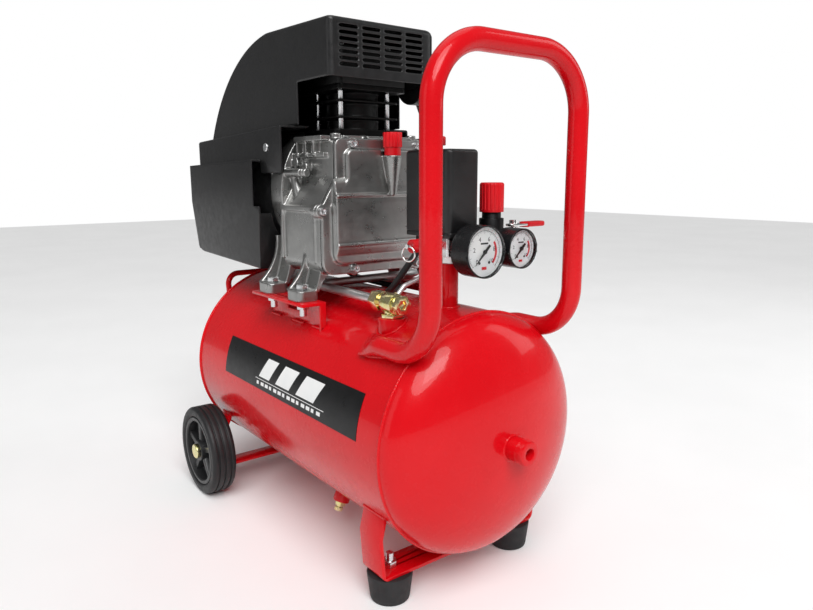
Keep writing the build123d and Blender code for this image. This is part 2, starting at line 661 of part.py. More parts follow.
def gauge_case(x, z, radius, stem_end):
    """A cup open to the front, with a raised rim and a stem to its port behind."""
    with BuildPart() as case:
        with BuildSketch(Plane.XZ.offset(-GAUGE_FACE_Y)):
            with Locations((x, z)):
                Circle(radius)
        extrude(amount=-GAUGE_DEPTH)
        fillet(case.edges().group_by(Axis.Y)[-1], 3)
        fillet(case.edges().group_by(Axis.Y)[0], 0.6)
        with BuildSketch(Plane.XZ.offset(-GAUGE_FACE_Y)):
            with Locations((x, z)):
                Circle(radius - GAUGE_RIM)
        extrude(amount=-6, mode=Mode.SUBTRACT)
        if stem_end > GAUGE_FACE_Y + GAUGE_DEPTH:
            with BuildSketch(Plane.XZ.offset(-GAUGE_FACE_Y - GAUGE_DEPTH)):
                with Locations((x, z)):
                    Circle(6)
            extrude(amount=-(stem_end - GAUGE_FACE_Y - GAUGE_DEPTH))
    return case.part


def gauge_disc(x, z, radius, front, thickness):
    """A round plate facing the front."""
    with BuildPart() as disc:
        with BuildSketch(Plane.XZ.offset(-front)):
            with Locations((x, z)):
                Circle(radius)
        extrude(amount=-thickness)
    return disc.part


def gauge_needle(x, z, radius):
    """A pointer resting at zero, lower left, with a short counterweight tail and a boss."""
    zero = Plane(origin=(x, GAUGE_FACE_Y + 2.6, z), x_dir=(-cos(pi / 4), 0, -sin(pi / 4)), z_dir=(0, -1, 0))
    with BuildPart() as needle:
        with BuildSketch(zero):
            with BuildLine():
                Polyline((-0.38 * radius, 1.2), (0, 1.4), (0.78 * radius, 0.25), (0.78 * radius, -0.25),
                         (0, -1.4), (-0.38 * radius, -1.2), close=True)
            make_face()
        extrude(amount=0.5)
        with BuildSketch(zero.offset(-1)):
            Circle(2)
        extrude(amount=1.8)
    return needle.part


save(Compound(children=[gauge_case(*place) for place in GAUGES.values()]), "gauge_cases")
dials = [gauge_disc(x, z, r - GAUGE_RIM, GAUGE_FACE_Y + 4.0, 2.0) for x, z, r, _ in GAUGES.values()]
save(Compound(children=dials), "gauge_dials")
lenses = [gauge_disc(x, z, r - GAUGE_RIM, GAUGE_FACE_Y + 0.3, 1.0) for x, z, r, _ in GAUGES.values()]
save(Compound(children=lenses), "gauge_lenses")
for word, (x, z, r, _) in GAUGES.items():
    save(gauge_needle(x, z, r - GAUGE_RIM - 1), f"{word}_gauge_needle")

# ---------------------------------------------------------------- crankcase
CASE_FRONT, CASE_BACK = -46.0, 40.0   # gasket face and the wall that carries the front bearing
CHAMBER_BACK = 30.0         # rear end of the crank chamber
CASE_HALF, CASE_TOP_HALF = 84.0, 66.0
CASE_BOTTOM = 319.0
BELL_R, BELL_BACK, BELL_LIP_R = 88.0, 60.0, 70.0
BEARING_R = 20.0
STUD_X, STUD_DY = 32.0, 25.0
stud_places = [(sx * STUD_X, CYL_Y + sy * STUD_DY) for sx in (-1, 1) for sy in (-1, 1)]
COVER_SCREWS = [(-44, 460), (44, 460), (-84, 389), (84, 389), (-44, 324), (44, 324)]


def case_outline(inset):
    """The crankcase's front view: square shoulders, sloping cheeks and a rounded sump."""
    half, top_half = CASE_HALF - inset, CASE_TOP_HALF - inset
    low, high = CASE_BOTTOM + inset, 466 - inset
    with BuildSketch() as outline:
        with BuildLine():
            Polyline((-top_half, high), (-top_half, 424), (-half, 394), (-half, low),
                     (half, low), (half, 394), (top_half, 424), (top_half, high), close=True)
        make_face()
        fillet(outline.vertices().group_by(Axis.Y)[0], 14)
        fillet(outline.vertices().group_by(Axis.Y)[-1], 8)
    return outline.sketch


FRONT_PLANE = Plane.XZ.offset(-CASE_FRONT)
CASE_WALL = 7.0


def leg(side, y_front, y_back):
    """One leg: a pad, a sloping inner wall and a curved rib behind the bolt."""
    with BuildPart() as arch:
        with BuildSketch(Plane.XZ.offset(-y_back)):
            with BuildLine():
                shoulder = (side * (CASE_HALF - 1), 356)
                pad_top = (side * 107.5, SADDLE_Z + PAD_T)
                Polyline((side * 64, 322), (side * 64, 356), shoulder)
                ThreePointArc(shoulder, (side * 88.5, 326), pad_top)
                Polyline(pad_top, (side * 82, SADDLE_Z + PAD_T), (side * 82, SADDLE_Z + 10))
                ThreePointArc((side * 82, SADDLE_Z + 10), (side * 74, 314), (side * 64, 322))
            make_face()
        extrude(amount=5.5)
        with BuildSketch(Plane.XZ.offset(-y_back)):
            with BuildLine():
                Polyline((side * 64, 322), (side * 64, 356), (side * 76, 356))
                ThreePointArc((side * 76, 356), (side * 79, 328), (side * 86.5, SADDLE_Z + PAD_T))
                Polyline((side * 86.5, SADDLE_Z + PAD_T), (side * 82, SADDLE_Z + 10))
                ThreePointArc((side * 82, SADDLE_Z + 10), (side * 74, 314), (side * 64, 322))
            make_face()
        extrude(amount=y_back - y_front)
        with BuildSketch(Plane.XY.offset(SADDLE_Z)):
            with Locations((side * PUMP_BOLT_X, (y_front + y_back) / 2)):
                RectangleRounded(26, y_back - y_front, 6)
        extrude(amount=PAD_T)
        with Locations((side * PUMP_BOLT_X, (y_front + y_back) / 2, SADDLE_Z)):
            Cylinder(4.5, 60, mode=Mode.SUBTRACT)
    return arch.part


with BuildPart() as crankcase:
    with BuildSketch(FRONT_PLANE):
        add(case_outline(0))
    extrude(amount=CASE_FRONT - CASE_BACK)
    with BuildSketch(FRONT_PLANE):
        add(case_outline(0))
        with Locations(*COVER_SCREWS):
            Circle(7.5)
    extrude(amount=-9)
    with BuildSketch(Plane.XZ.offset(-BELL_BACK)):
        with Locations((0, SHAFT_Z)):
            Circle(BELL_R)
    extrude(amount=BELL_BACK - CASE_BACK + 8)
    with Locations((0, CASE_FRONT + 9, DECK_Z)):
        Box(92, BELL_BACK - CASE_FRONT - 13, 16, align=(Align.CENTER, Align.MIN, Align.MAX))
    for side in (-1, 1):
        with BuildSketch(Plane.XZ.offset(-BELL_BACK)):
            with Locations((side * 80, 430)):
                Circle(4.5)
        extrude(amount=BELL_BACK + 2)
        for y in PUMP_BOLT_Y:
            add(leg(side, y - 15, y + 15))
    with BuildSketch(Plane.XY.offset(DECK_Z)):
        with Locations((0, CYL_Y)):
            Rectangle(300, 300)
    extrude(amount=60, mode=Mode.SUBTRACT)
    with BuildSketch(FRONT_PLANE):
        add(case_outline(CASE_WALL))
    extrude(amount=CASE_FRONT - CHAMBER_BACK, mode=Mode.SUBTRACT)
    with BuildSketch(Plane.XZ.offset(-BELL_BACK)):
        with Locations((0, SHAFT_Z)):
            Circle(BELL_LIP_R)
        with Locations((0, DECK_Z - 5)):
            Rectangle(300, 60, align=(Align.CENTER, Align.MIN), mode=Mode.SUBTRACT)
    extrude(amount=BELL_BACK - CASE_BACK, mode=Mode.SUBTRACT)
    with BuildSketch(Plane.XZ.offset(4 - BELL_BACK)):
        with Locations((0, SHAFT_Z)):
            Circle(BELL_R - 6)
        with Locations((0, DECK_Z - 5)):
            Rectangle(300, 60, align=(Align.CENTER, Align.MIN), mode=Mode.SUBTRACT)
    extrude(amount=BELL_BACK - CASE_BACK - 4, mode=Mode.SUBTRACT)
    with BuildSketch(Plane.XY.offset(DECK_Z - 10)):
        with Locations((0, CYL_Y)):
            Circle(31)
    extrude(amount=90, mode=Mode.SUBTRACT)
    with BuildSketch(Plane.XY.offset(DECK_Z)):
        with Locations(*stud_places):
            Circle(3)
    extrude(amount=-9, mode=Mode.SUBTRACT)
    with BuildSketch(Plane.XY.offset(DECK_Z - 15)):
        with Locations((0, CYL_Y)):
            Circle(BORE_R + 1)
    extrude(amount=15, mode=Mode.SUBTRACT)
    with BuildSketch(Plane.XZ.offset(-CASE_BACK)):
        with Locations((0, SHAFT_Z)):
            Circle(BEARING_R)
    extrude(amount=60, mode=Mode.SUBTRACT)
    with BuildSketch(FRONT_PLANE):
        with Locations(*COVER_SCREWS):
            Circle(2.5)
    extrude(amount=-9, mode=Mode.SUBTRACT)
save(crankcase.part, "crankcase")

COVER_T, GASKET_T = 5.0, 0.8
FILLER_X, FILLER_Y, FILLER_TOP = 0.0, -65.0, 448.0
COVER_FACE = FRONT_PLANE.offset(GASKET_T)
with BuildPart() as cover:
    with BuildSketch(COVER_FACE):
        add(case_outline(0))
        with Locations(*COVER_SCREWS):
            Circle(7.5)
    extrude(amount=COVER_T)
    with BuildSketch(COVER_FACE.offset(COVER_T)):
        add(case_outline(11))
    extrude(amount=6)
    fillet(cover.edges().group_by(Axis.Y)[0], 3)
    with BuildSketch(Plane.YZ.offset(-CASE_HALF + 13)):
        with BuildLine():
            front = CASE_FRONT - GASKET_T - COVER_T
            Polyline((front, 334), (front - 7, 342), (front - 9, 348), (front - 9, 398),
                     (front - 5, 420), (front, 424), close=True)
        make_face()
    extrude(amount=2 * (CASE_HALF - 13))
    with BuildSketch(Plane.XY.offset(404)):
        with Locations((FILLER_X, FILLER_Y)):
            Circle(4)
    with BuildSketch(Plane.XY.offset(FILLER_TOP)):
        with Locations((FILLER_X, FILLER_Y)):
            Circle(10.8)
    loft()
    with BuildSketch(COVER_FACE):
        add(case_outline(CASE_WALL + 7))
    extrude(amount=6, mode=Mode.SUBTRACT)
    with BuildSketch(Plane.XY.offset(414)):
        with Locations((FILLER_X, FILLER_Y)):
            Circle(5)
    extrude(amount=40, mode=Mode.SUBTRACT)
    with BuildSketch(Plane.XY.offset(FILLER_TOP)):
        with Locations((FILLER_X, FILLER_Y)):
            Circle(12.5)
    extrude(amount=40, mode=Mode.SUBTRACT)
    with BuildSketch(COVER_FACE):
        with Locations(*COVER_SCREWS):
            Circle(2.5)
    extrude(amount=12, mode=Mode.SUBTRACT)
save(cover.part, "crankcase_cover")

with BuildPart() as gasket:
    with BuildSketch(FRONT_PLANE):
        add(case_outline(0))
        add(case_outline(CASE_WALL), mode=Mode.SUBTRACT)
        with Locations(*COVER_SCREWS):
            Circle(2.5, mode=Mode.SUBTRACT)
    extrude(amount=GASKET_T)
save(gasket.part, "cover_gasket")

with BuildPart() as oil_plug:
    with BuildSketch(Plane.XY.offset(436)):
        with Locations((FILLER_X, FILLER_Y)):
            Circle(4.92)
    extrude(amount=12)
    with BuildSketch(Plane.XY.offset(448)):
        with Locations((FILLER_X, FILLER_Y)):
            Circle(9.2)
    extrude(amount=9)
    with BuildSketch(Plane.XY.offset(457)):
        with Locations((FILLER_X, FILLER_Y)):
            Circle(10.6)
            with PolarLocations(11, 12):
                Circle(1.1, mode=Mode.SUBTRACT)
    extrude(amount=16)
save(oil_plug.part, "oil_filler_plug")

# ---------------------------------------------------------------- cylinder, head and moving parts
CYL_BASE_T = 8.0
BASE_HALF_Y = 38.0
FIN_HALF_X, FIN_HALF_Y = 42.0, 36.0
with BuildPart() as cylinder:
    with BuildSketch(Plane.XY.offset(DECK_Z)):
        with Locations((0, CYL_Y)):
            RectangleRounded(2 * HEAD_HALF_X, 2 * BASE_HALF_Y, 6)
    extrude(amount=CYL_BASE_T)
    with BuildSketch(Plane.XY.offset(DECK_Z - 9.5)):
        with Locations((0, CYL_Y)):
            Circle(30.5)
    extrude(amount=HEAD_Z - DECK_Z + 9.5)
    for fin_z in (490, 508):
        with BuildSketch(Plane.XY.offset(fin_z)):
            with Locations((0, CYL_Y)):
                RectangleRounded(2 * FIN_HALF_X, 2 * FIN_HALF_Y, 5)
        extrude(amount=2.5)
    with BuildSketch(Plane.XY.offset(HEAD_Z - 6)):
        with Locations((0, CYL_Y)):
            RectangleRounded(2 * HEAD_HALF_X, 2 * HEAD_HALF_X, 6)
    extrude(amount=6)
    with BuildSketch(Plane.XY.offset(DECK_Z - 20)):
        with Locations((0, CYL_Y)):
            Circle(BORE_R)
        with Locations(*stud_places):
            Circle(3)
    extrude(amount=90, mode=Mode.SUBTRACT)
save(cylinder.part, "cylinder")

HEAD_TOP = 566.0
with BuildPart() as head:
    with BuildSketch(Plane.XY.offset(HEAD_Z)):
        with Locations((0, CYL_Y)):
            RectangleRounded(2 * HEAD_HALF_X, 2 * HEAD_HALF_X, 6)
    extrude(amount=HEAD_TOP - HEAD_Z)
    with BuildSketch(Plane.XY.offset(HEAD_TOP)):
        with Locations((0, CYL_Y)):
            with GridLocations(9, 0, 9, 1):
                Rectangle(4, 2 * HEAD_HALF_X - 8)
        with Locations(*stud_places):
            Circle(6.5, mode=Mode.SUBTRACT)
    extrude(amount=-12, mode=Mode.SUBTRACT)
    for chamber_y in (-20, 22):
        with BuildSketch(Plane.XY.offset(HEAD_Z)):
            with Locations((0, CYL_Y + chamber_y)):
                Rectangle(46, 30)
        extrude(amount=22, mode=Mode.SUBTRACT)
    with BuildSketch(Plane.XY.offset(HEAD_Z)):
        with Locations(*stud_places):
            Circle(3)
    extrude(amount=60, mode=Mode.SUBTRACT)
    with BuildSketch(Plane.YZ.offset(HEAD_HALF_X)):
        with Locations((HEAD_PORT_Y, HEAD_PORT_Z)):
            Circle(3.5)
    extrude(amount=-30, mode=Mode.SUBTRACT)
save(head.part, "cylinder_head")

stud = hex_bolt(10, 5, 3.0, HEAD_TOP - DECK_Z + 9)
save(Compound(children=[stud.moved(Location((x, y, HEAD_TOP))) for x, y in stud_places]), "cylinder_studs")

PIN_LOW = SHAFT_Z - STROKE / 2           # crank pin at bottom dead centre
WRIST_Z = PIN_LOW + ROD_LENGTH
PISTON_R, PISTON_UP, PISTON_DOWN = BORE_R - 0.05, 14.0, 16.0
WRIST_R = 6.0
with BuildPart() as piston:
    with BuildSketch(Plane.XY.offset(WRIST_Z - PISTON_DOWN)):
        with Locations((0, CYL_Y)):
            Circle(PISTON_R)
    extrude(amount=PISTON_UP + PISTON_DOWN)
    for groove in (4, 8, 12):
        with BuildSketch(Plane.XY.offset(WRIST_Z + PISTON_UP - groove)):
            with Locations((0, CYL_Y)):
                Circle(PISTON_R + 1)
                Circle(PISTON_R - 0.8, mode=Mode.SUBTRACT)
        extrude(amount=1.5, mode=Mode.SUBTRACT)
    with BuildSketch(Plane.XY.offset(WRIST_Z - PISTON_DOWN)):
        with Locations((0, CYL_Y)):
            RectangleRounded(34, 22, 8)
    extrude(amount=PISTON_UP + PISTON_DOWN - 3.5, mode=Mode.SUBTRACT)
    with BuildSketch(Plane.XZ.offset(-CYL_Y - 20)):
        with Locations((0, WRIST_Z)):
            Circle(WRIST_R)
    extrude(amount=40)
save(piston.part, "piston")

EYE_R, ROD_T = 16.0, 10.0
with BuildPart() as rod:
    with BuildSketch(Plane.XZ.offset(-CYL_Y - ROD_T / 2)):
        with Locations((0, PIN_LOW)):
            Circle(EYE_R)
        with Locations((0, WRIST_Z)):
            Circle(9.5)
        with Locations((0, (PIN_LOW + WRIST_Z) / 2)):
            Rectangle(9, ROD_LENGTH - 16)
        with Locations((0, PIN_LOW)):
            Circle(11, mode=Mode.SUBTRACT)
        with Locations((0, WRIST_Z)):
            Circle(WRIST_R + 0.06, mode=Mode.SUBTRACT)
    extrude(amount=ROD_T)
    with BuildSketch(Plane.XY.offset(PIN_LOW - EYE_R - 14)):
        with Locations((0, CYL_Y)):
            Rectangle(4, 8)
    extrude(amount=15)
save(rod.part, "connecting_rod")

SHAFT_R = 8.5
SHAFT_END = 242.0
DISC_FRONT, DISC_BACK = CYL_Y + ROD_T / 2 + 0.6, CASE_BACK - 12.4    # clear of the rod and the bearing
with BuildPart() as crankshaft:
    with BuildSketch(Plane.XZ.offset(-SHAFT_END)):
        with Locations((0, SHAFT_Z)):
            Circle(SHAFT_R)
    extrude(amount=SHAFT_END - DISC_FRONT)
    with BuildSketch(Plane.XZ.offset(-DISC_BACK)):
        with Locations((0, SHAFT_Z)):
            Circle(24)
        with Locations((0, PIN_LOW)):
            Circle(13)
        with Locations((0, SHAFT_Z + 14)):
            Rectangle(46, 30)
    extrude(amount=DISC_BACK - DISC_FRONT)
save(crankshaft.part, "crankshaft")

# ---------------------------------------------------------------- motor
STATOR_R, STATOR_FRONT, STATOR_BACK = 76.0, 60.0, 150.0
ROTOR_R = 37.0
with BuildPart() as stator:
    with BuildSketch(Plane.XZ.offset(-STATOR_BACK)):
        with Locations((0, SHAFT_Z)):
            Circle(STATOR_R)
            Circle(ROTOR_R + 0.6, mode=Mode.SUBTRACT)
    extrude(amount=STATOR_BACK - STATOR_FRONT)
with BuildPart() as windings:
    for back in (STATOR_FRONT, STATOR_BACK + 14):
        with BuildSketch(Plane.XZ.offset(-back)):
            with Locations((0, SHAFT_Z)):
                Circle(54)
                Circle(40, mode=Mode.SUBTRACT)
        extrude(amount=14)
    fillet(windings.edges(), 4)
save(Compound(children=[stator.part] + list(windings.part.solids())), "stator")

with BuildPart() as rotor:
    with BuildSketch(Plane.XZ.offset(-STATOR_BACK - 5)):
        with Locations((0, SHAFT_Z)):
            Circle(ROTOR_R)
            Circle(SHAFT_R, mode=Mode.SUBTRACT)
    extrude(amount=STATOR_BACK - STATOR_FRONT + 10)
save(rotor.part, "rotor")

END_CAP_FRONT, END_CAP_BACK = STATOR_BACK, 188.0
with BuildPart() as end_cap:
    with BuildSketch(Plane.XZ.offset(-END_CAP_BACK)):
        with Locations((0, SHAFT_Z)):
            Circle(STATOR_R)
    extrude(amount=END_CAP_BACK - END_CAP_FRONT)
    fillet(end_cap.edges().group_by(Axis.Y)[-1], 10)
    with BuildSketch(Plane.XZ.offset(-END_CAP_FRONT)):
        with Locations((0, SHAFT_Z)):
            Circle(STATOR_R - 5)
    extrude(amount=-(END_CAP_BACK - END_CAP_FRONT - 12), mode=Mode.SUBTRACT)
    with BuildSketch(Plane.XZ.offset(-END_CAP_BACK)):
        with Locations((0, SHAFT_Z)):
            Circle(BEARING_R)
            with PolarLocations(48, 6):
                Circle(9)
    extrude(amount=20, mode=Mode.SUBTRACT)
save(end_cap.part, "motor_end_cap")


def bearing(front):
    """A deep-groove ball bearing drawn as a closed ring, running on the shaft."""
    with BuildPart() as ring:
        with BuildSketch(Plane.XZ.offset(-front - 12)):
            with Locations((0, SHAFT_Z)):
                Circle(BEARING_R)
                Circle(SHAFT_R + 0.04, mode=Mode.SUBTRACT)
        extrude(amount=12)
    return ring.part


save(Compound(children=[bearing(CASE_BACK - 12), bearing(END_CAP_BACK - 12)]), "shaft_bearings")

FAN_Y, FAN_R = 206.0, 60.0
with BuildPart() as fan:
    with BuildSketch(Plane.XZ.offset(-FAN_Y - 26)):
        with Locations((0, SHAFT_Z)):
            Circle(18)
            Circle(SHAFT_R, mode=Mode.SUBTRACT)
    extrude(amount=26)
    with BuildSketch(Plane.XZ.offset(-FAN_Y - 3)):
        with Locations((0, SHAFT_Z)):
            Circle(FAN_R)
            Circle(17, mode=Mode.SUBTRACT)
    extrude(amount=3)
    with BuildSketch(Plane.XZ.offset(-FAN_Y - 26)):
        with Locations((0, SHAFT_Z)):
            with PolarLocations(37, 8):
                Rectangle(44, 3)
    extrude(amount=24)
save(fan.part, "fan")

# ---------------------------------------------------------------- plastic covers
COVER_HALF, MID_HALF, SHROUD_HALF = 104.0, 91.0, 72.4
PLASTIC = 2.5
COVER_LOW, COVER_JOG_Z = 314.0, 391.0
SHELF_FRONT_Y, SHELF_FRONT_Z, SHELF_FALL = 26.0, 483.0, radians(2.3)     # top of the middle tier
STEP_FRONT_Y, STEP_FRONT_Z, STEP_FALL = 64.0, 446.0, radians(1.5)        # top of the lower tier


def shelf_z(y):
    """Height of the middle tier's falling top."""
    return SHELF_FRONT_Z - (y - SHELF_FRONT_Y) * tan(SHELF_FALL)


def fan_cover_solid(inset):
    """The fan cover's outer shape, or its inside when inset is the wall thickness."""
    back, half = MACHINE_REAR - inset, COVER_HALF - inset
    with BuildPart() as lower:
        with BuildSketch(Plane.XZ.offset(-back)):
            with BuildLine():
                Polyline((-half, 470), (-half, COVER_JOG_Z), (-half + 8, COVER_LOW + inset),
                         (half - 8, COVER_LOW + inset), (half, COVER_JOG_Z), (half, 470), close=True)
            make_face()
        extrude(amount=back - 50)
        fillet(lower.faces().sort_by(Axis.Y)[-1].edges(), 20 - inset)
        with BuildSketch(Plane.YZ) as profile:
            with BuildLine():
                Polyline((78, 500), (78, COVER_JOG_Z), (62, COVER_JOG_Z), (62, 383),
                         (80, COVER_LOW + inset), (back - 9, COVER_LOW + 7 + inset),
                         (back, 402), (back, 500), close=True)
            make_face()
            fillet(profile.vertices().sort_by_distance((back, COVER_LOW))[0], 26 - inset)
            fillet(profile.vertices().sort_by_distance((back, 402))[0], 60)
        extrude(amount=120, both=True, mode=Mode.INTERSECT)
        split(bisect_by=Plane(origin=(0, STEP_FRONT_Y, STEP_FRONT_Z - inset),
                              z_dir=(0, sin(STEP_FALL), cos(STEP_FALL))), keep=Keep.BOTTOM)
    with BuildPart() as middle:
        with BuildSketch(Plane.XY.offset(500)) as shelf:
            with Locations((0, (SHELF_FRONT_Y + back - 2) / 2)):
                Rectangle(2 * (MID_HALF - inset), back - 2 - SHELF_FRONT_Y)
            fillet(shelf.vertices().group_by(Axis.Y)[-1], 24 - inset)
        extrude(amount=-70)
        split(bisect_by=Plane(origin=(0, SHELF_FRONT_Y, SHELF_FRONT_Z - inset),
                              z_dir=(0, sin(SHELF_FALL), cos(SHELF_FALL))), keep=Keep.BOTTOM)
    return lower.part + middle.part


outer_cover = fan_cover_solid(0)
inner_cover = fan_cover_solid(PLASTIC)
AIR_DUCT_HALF = 66.0
LEAD_ENTRY = ((35, 114, 308), (32, 132, 328))    # the motor lead's last run, through the cover's floor
with BuildPart() as fan_cover:
    add(outer_cover)
    add(inner_cover, mode=Mode.SUBTRACT)
    with BuildSketch(Plane.XZ.offset(-64)):
        with Locations((0, SHAFT_Z)):
            Circle(BELL_R + 3)
    extrude(amount=60, both=True, mode=Mode.SUBTRACT)
    with BuildSketch(Plane.XY.offset(500)):
        with Locations((0, 140)):
            Rectangle(2 * AIR_DUCT_HALF, 150)
    extrude(amount=-40, mode=Mode.SUBTRACT)
    with BuildSketch(Plane.XZ.offset(-MACHINE_REAR)):
        with Locations((0, SHAFT_Z - 10)):
            with GridLocations(0, 8, 1, 15):
                Rectangle(96, 4)
    extrude(amount=20, mode=Mode.SUBTRACT)
    add(private_cylinder(5, *LEAD_ENTRY), mode=Mode.SUBTRACT)
save(fan_cover.part, "fan_cover")

SHROUD_FRONT, SHROUD_TOP, SHROUD_LIP = -54.0, 593.0, 529.0
SHROUD_LEG_Y, SHROUD_REAR = 17.0, 270.0
SHROUD_CROWN = 223.0        # radius of the shroud's falling back


def shroud_solid(inset):
    """The shroud's outer shape, or its inside when inset is the wall thickness."""
    with BuildPart() as shape:
        with BuildSketch(Plane.YZ.offset(-SHROUD_HALF + inset)):
            with BuildLine():
                front, top = SHROUD_FRONT + inset, SHROUD_TOP - inset
                leg_y, rear = SHROUD_LEG_Y - inset, SHROUD_REAR - inset
                crown, foot = (90, top), (rear, shelf_z(rear) - 2 * inset)
                Polyline(foot, (leg_y, shelf_z(leg_y) - 2 * inset), (leg_y, SHROUD_LIP),
                         (front, SHROUD_LIP), (front, top - 4), crown)
                RadiusArc(crown, foot, SHROUD_CROWN)
            make_face()
        extrude(amount=2 * (SHROUD_HALF - inset))
    return shape.part


with BuildPart() as shroud:
    add(shroud_solid(0))
    fillet(shroud.edges().filter_by(Axis.Z).group_by(Axis.Y)[0].sort_by(Axis.X)[0], 7)
    fillet(shroud.edges().filter_by(Axis.Z).group_by(Axis.Y)[0].sort_by(Axis.X)[-1], 14)
    add(shroud_solid(PLASTIC), mode=Mode.SUBTRACT)
    with BuildSketch(Plane.XZ.offset(-SHROUD_FRONT)):
        with Locations((-4, 561)):
            with GridLocations(29, 6.4, 4, 7):
                Rectangle(24, 3.4)
    extrude(amount=-12, mode=Mode.SUBTRACT)
    with BuildSketch(Plane.YZ.offset(SHROUD_HALF - 10)):
        with Locations((HEAD_PORT_Y, HEAD_PORT_Z)):
            Circle(8)
    extrude(amount=20, mode=Mode.SUBTRACT)
save(shroud.part, "shroud")

FILTER_Y, FILTER_Z, FILTER_R = -4.0, 541.0, 30.0
with BuildPart() as intake_filter:
    with BuildSketch(Plane.YZ.offset(SHROUD_HALF)):
        with Locations((FILTER_Y, FILTER_Z)):
            Circle(FILTER_R)
    extrude(amount=28)
    fillet(intake_filter.edges().group_by(Axis.X)[-1], 4)
    with BuildSketch(Plane.YZ.offset(SHROUD_HALF + 6)):
        with Locations((FILTER_Y, FILTER_Z)):
            with PolarLocations(FILTER_R + 0.6, 24):
                Circle(1.5)
    extrude(amount=16, mode=Mode.SUBTRACT)
save(intake_filter.part, "intake_filter")

# ---------------------------------------------------------------- small screws and the motor lead
with BuildPart() as cap_screw:
    with BuildSketch():
        Circle(4.2)
    extrude(amount=4.2)
    with BuildSketch(Plane.XY.offset(4.2)):
        RegularPolygon(2.4, 6)
    extrude(amount=-2.4, mode=Mode.SUBTRACT)
    with BuildSketch():
        Circle(2.5)
    extrude(amount=-13)
cover_screw = cap_screw.part
screw_face = CASE_FRONT - GASKET_T - COVER_T
screws = [cover_screw.moved(Location((x, screw_face, z), (90, 0, 0))) for x, z in COVER_SCREWS]
with BuildPart() as washer_screw:
    Cylinder(5, 2.4, align=(Align.CENTER, Align.CENTER, Align.MIN))
    fillet(washer_screw.edges().group_by(Axis.Z)[-1], 1.2)
SHROUD_SCREW_Y, SHROUD_SCREW_Z = 60.0, 459.0
screws += [washer_screw.part.moved(Location((side * MID_HALF, SHROUD_SCREW_Y, SHROUD_SCREW_Z),
                                                  (0, side * 90, 0))) for side in (-1, 1)]
save(Compound(children=screws), "housing_screws")

LEAD_R = 3.5
lead_points = [(-9, -124, SWITCH_Z), (-9, -124, 350), (-24, -117, 327), (-31, -104, 307), (-24, -84, 299),
               (5, -64, 298.5), (34, -44, 293.5), (46, -8, 289.7), (45, 40, 289.7), (40, 86, 294), *LEAD_ENTRY]


def bend_radii(points):
    """Each corner's radius: 0.45 of the shorter run beside it over the tangent of half the turn."""
    radii = []
    for before, here, after in zip(points, points[1:], points[2:]):
        arrive, leave = Vector(*here) - Vector(*before), Vector(*after) - Vector(*here)
        half_turn = radians(arrive.get_angle(leave)) / 2
        radii.append(0.45 * min(arrive.length, leave.length) / tan(half_turn))
    return radii


lead_radii = bend_radii(lead_points)
print("motor lead bend radii:", [round(radius, 1) for radius in lead_radii])
with BuildPart() as motor_lead:
    with BuildLine() as lead_route:
        FilletPolyline(*lead_points, radius=lead_radii)
    with BuildSketch(Plane(origin=lead_points[0], z_dir=Vector(*lead_points[1]) - Vector(*lead_points[0]))):
        Circle(LEAD_R)
    sweep()
print("motor lead length:", round(lead_route.wires()[0].length, 1))
save(motor_lead.part, "motor_lead")
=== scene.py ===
"""Looks of the horizontal-tank air compressor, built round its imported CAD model.

Lengths are metres in the model's frame: the front is -y, the left is -x and up is +z.
"""
import json
from math import atan2, cos, hypot, pi, radians, sin, sqrt, tau
from random import Random

import bmesh
import bpy
from mathutils import Matrix, Vector


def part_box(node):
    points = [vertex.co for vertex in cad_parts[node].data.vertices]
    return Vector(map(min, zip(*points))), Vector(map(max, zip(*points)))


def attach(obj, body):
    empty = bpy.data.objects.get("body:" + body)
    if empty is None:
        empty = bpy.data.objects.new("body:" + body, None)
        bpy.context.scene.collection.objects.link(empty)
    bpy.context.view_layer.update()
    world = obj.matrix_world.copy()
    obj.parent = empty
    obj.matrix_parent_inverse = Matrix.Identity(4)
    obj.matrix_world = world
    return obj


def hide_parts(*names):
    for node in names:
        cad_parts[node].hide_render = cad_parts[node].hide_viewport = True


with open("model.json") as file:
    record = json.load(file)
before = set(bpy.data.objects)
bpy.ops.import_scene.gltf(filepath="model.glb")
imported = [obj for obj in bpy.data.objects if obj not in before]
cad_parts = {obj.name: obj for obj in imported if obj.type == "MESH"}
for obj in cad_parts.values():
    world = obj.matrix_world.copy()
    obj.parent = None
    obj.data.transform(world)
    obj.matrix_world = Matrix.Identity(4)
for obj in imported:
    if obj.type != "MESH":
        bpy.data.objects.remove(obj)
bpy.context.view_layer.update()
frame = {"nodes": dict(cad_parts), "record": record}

NODES = frame["nodes"]
BODY_OF = {n: b for b, names in frame["record"]["behaviour"]["bodies"].items() for n in names}
SLOT_OF = {p["node"]: p["material_slot"] for p in frame["record"]["subparts"]}
MM = 0.001

# ---------------------------------------------------------------- camera and light
scene = bpy.context.scene
scene.view_settings.view_transform = "Standard"
EYE = Vector((-0.46170, -0.69985, 0.42757))
FORWARD = Vector((0.59627, 0.78079, -0.18662))
RIGHT = Vector((0.79431, -0.60750, -0.00379))
SENSOR_WIDTH, FOCAL_LENGTH = 36, 30.453      # millimetres
LAMP_TARGET = Vector((0, 0, 0.3))
SUN_DIRECTION = Vector((0.45, 0.75, -1.0))

cam_data = bpy.data.cameras.new("camera")
cam_data.sensor_width = SENSOR_WIDTH
cam_data.lens = FOCAL_LENGTH
cam_data.clip_start, cam_data.clip_end = 0.01, 50
camera = bpy.data.objects.new("camera", cam_data)
scene.collection.objects.link(camera)
camera.matrix_world = Matrix((RIGHT, RIGHT.cross(FORWARD), -FORWARD)).transposed().to_4x4()
camera.location = EYE
scene.camera = camera


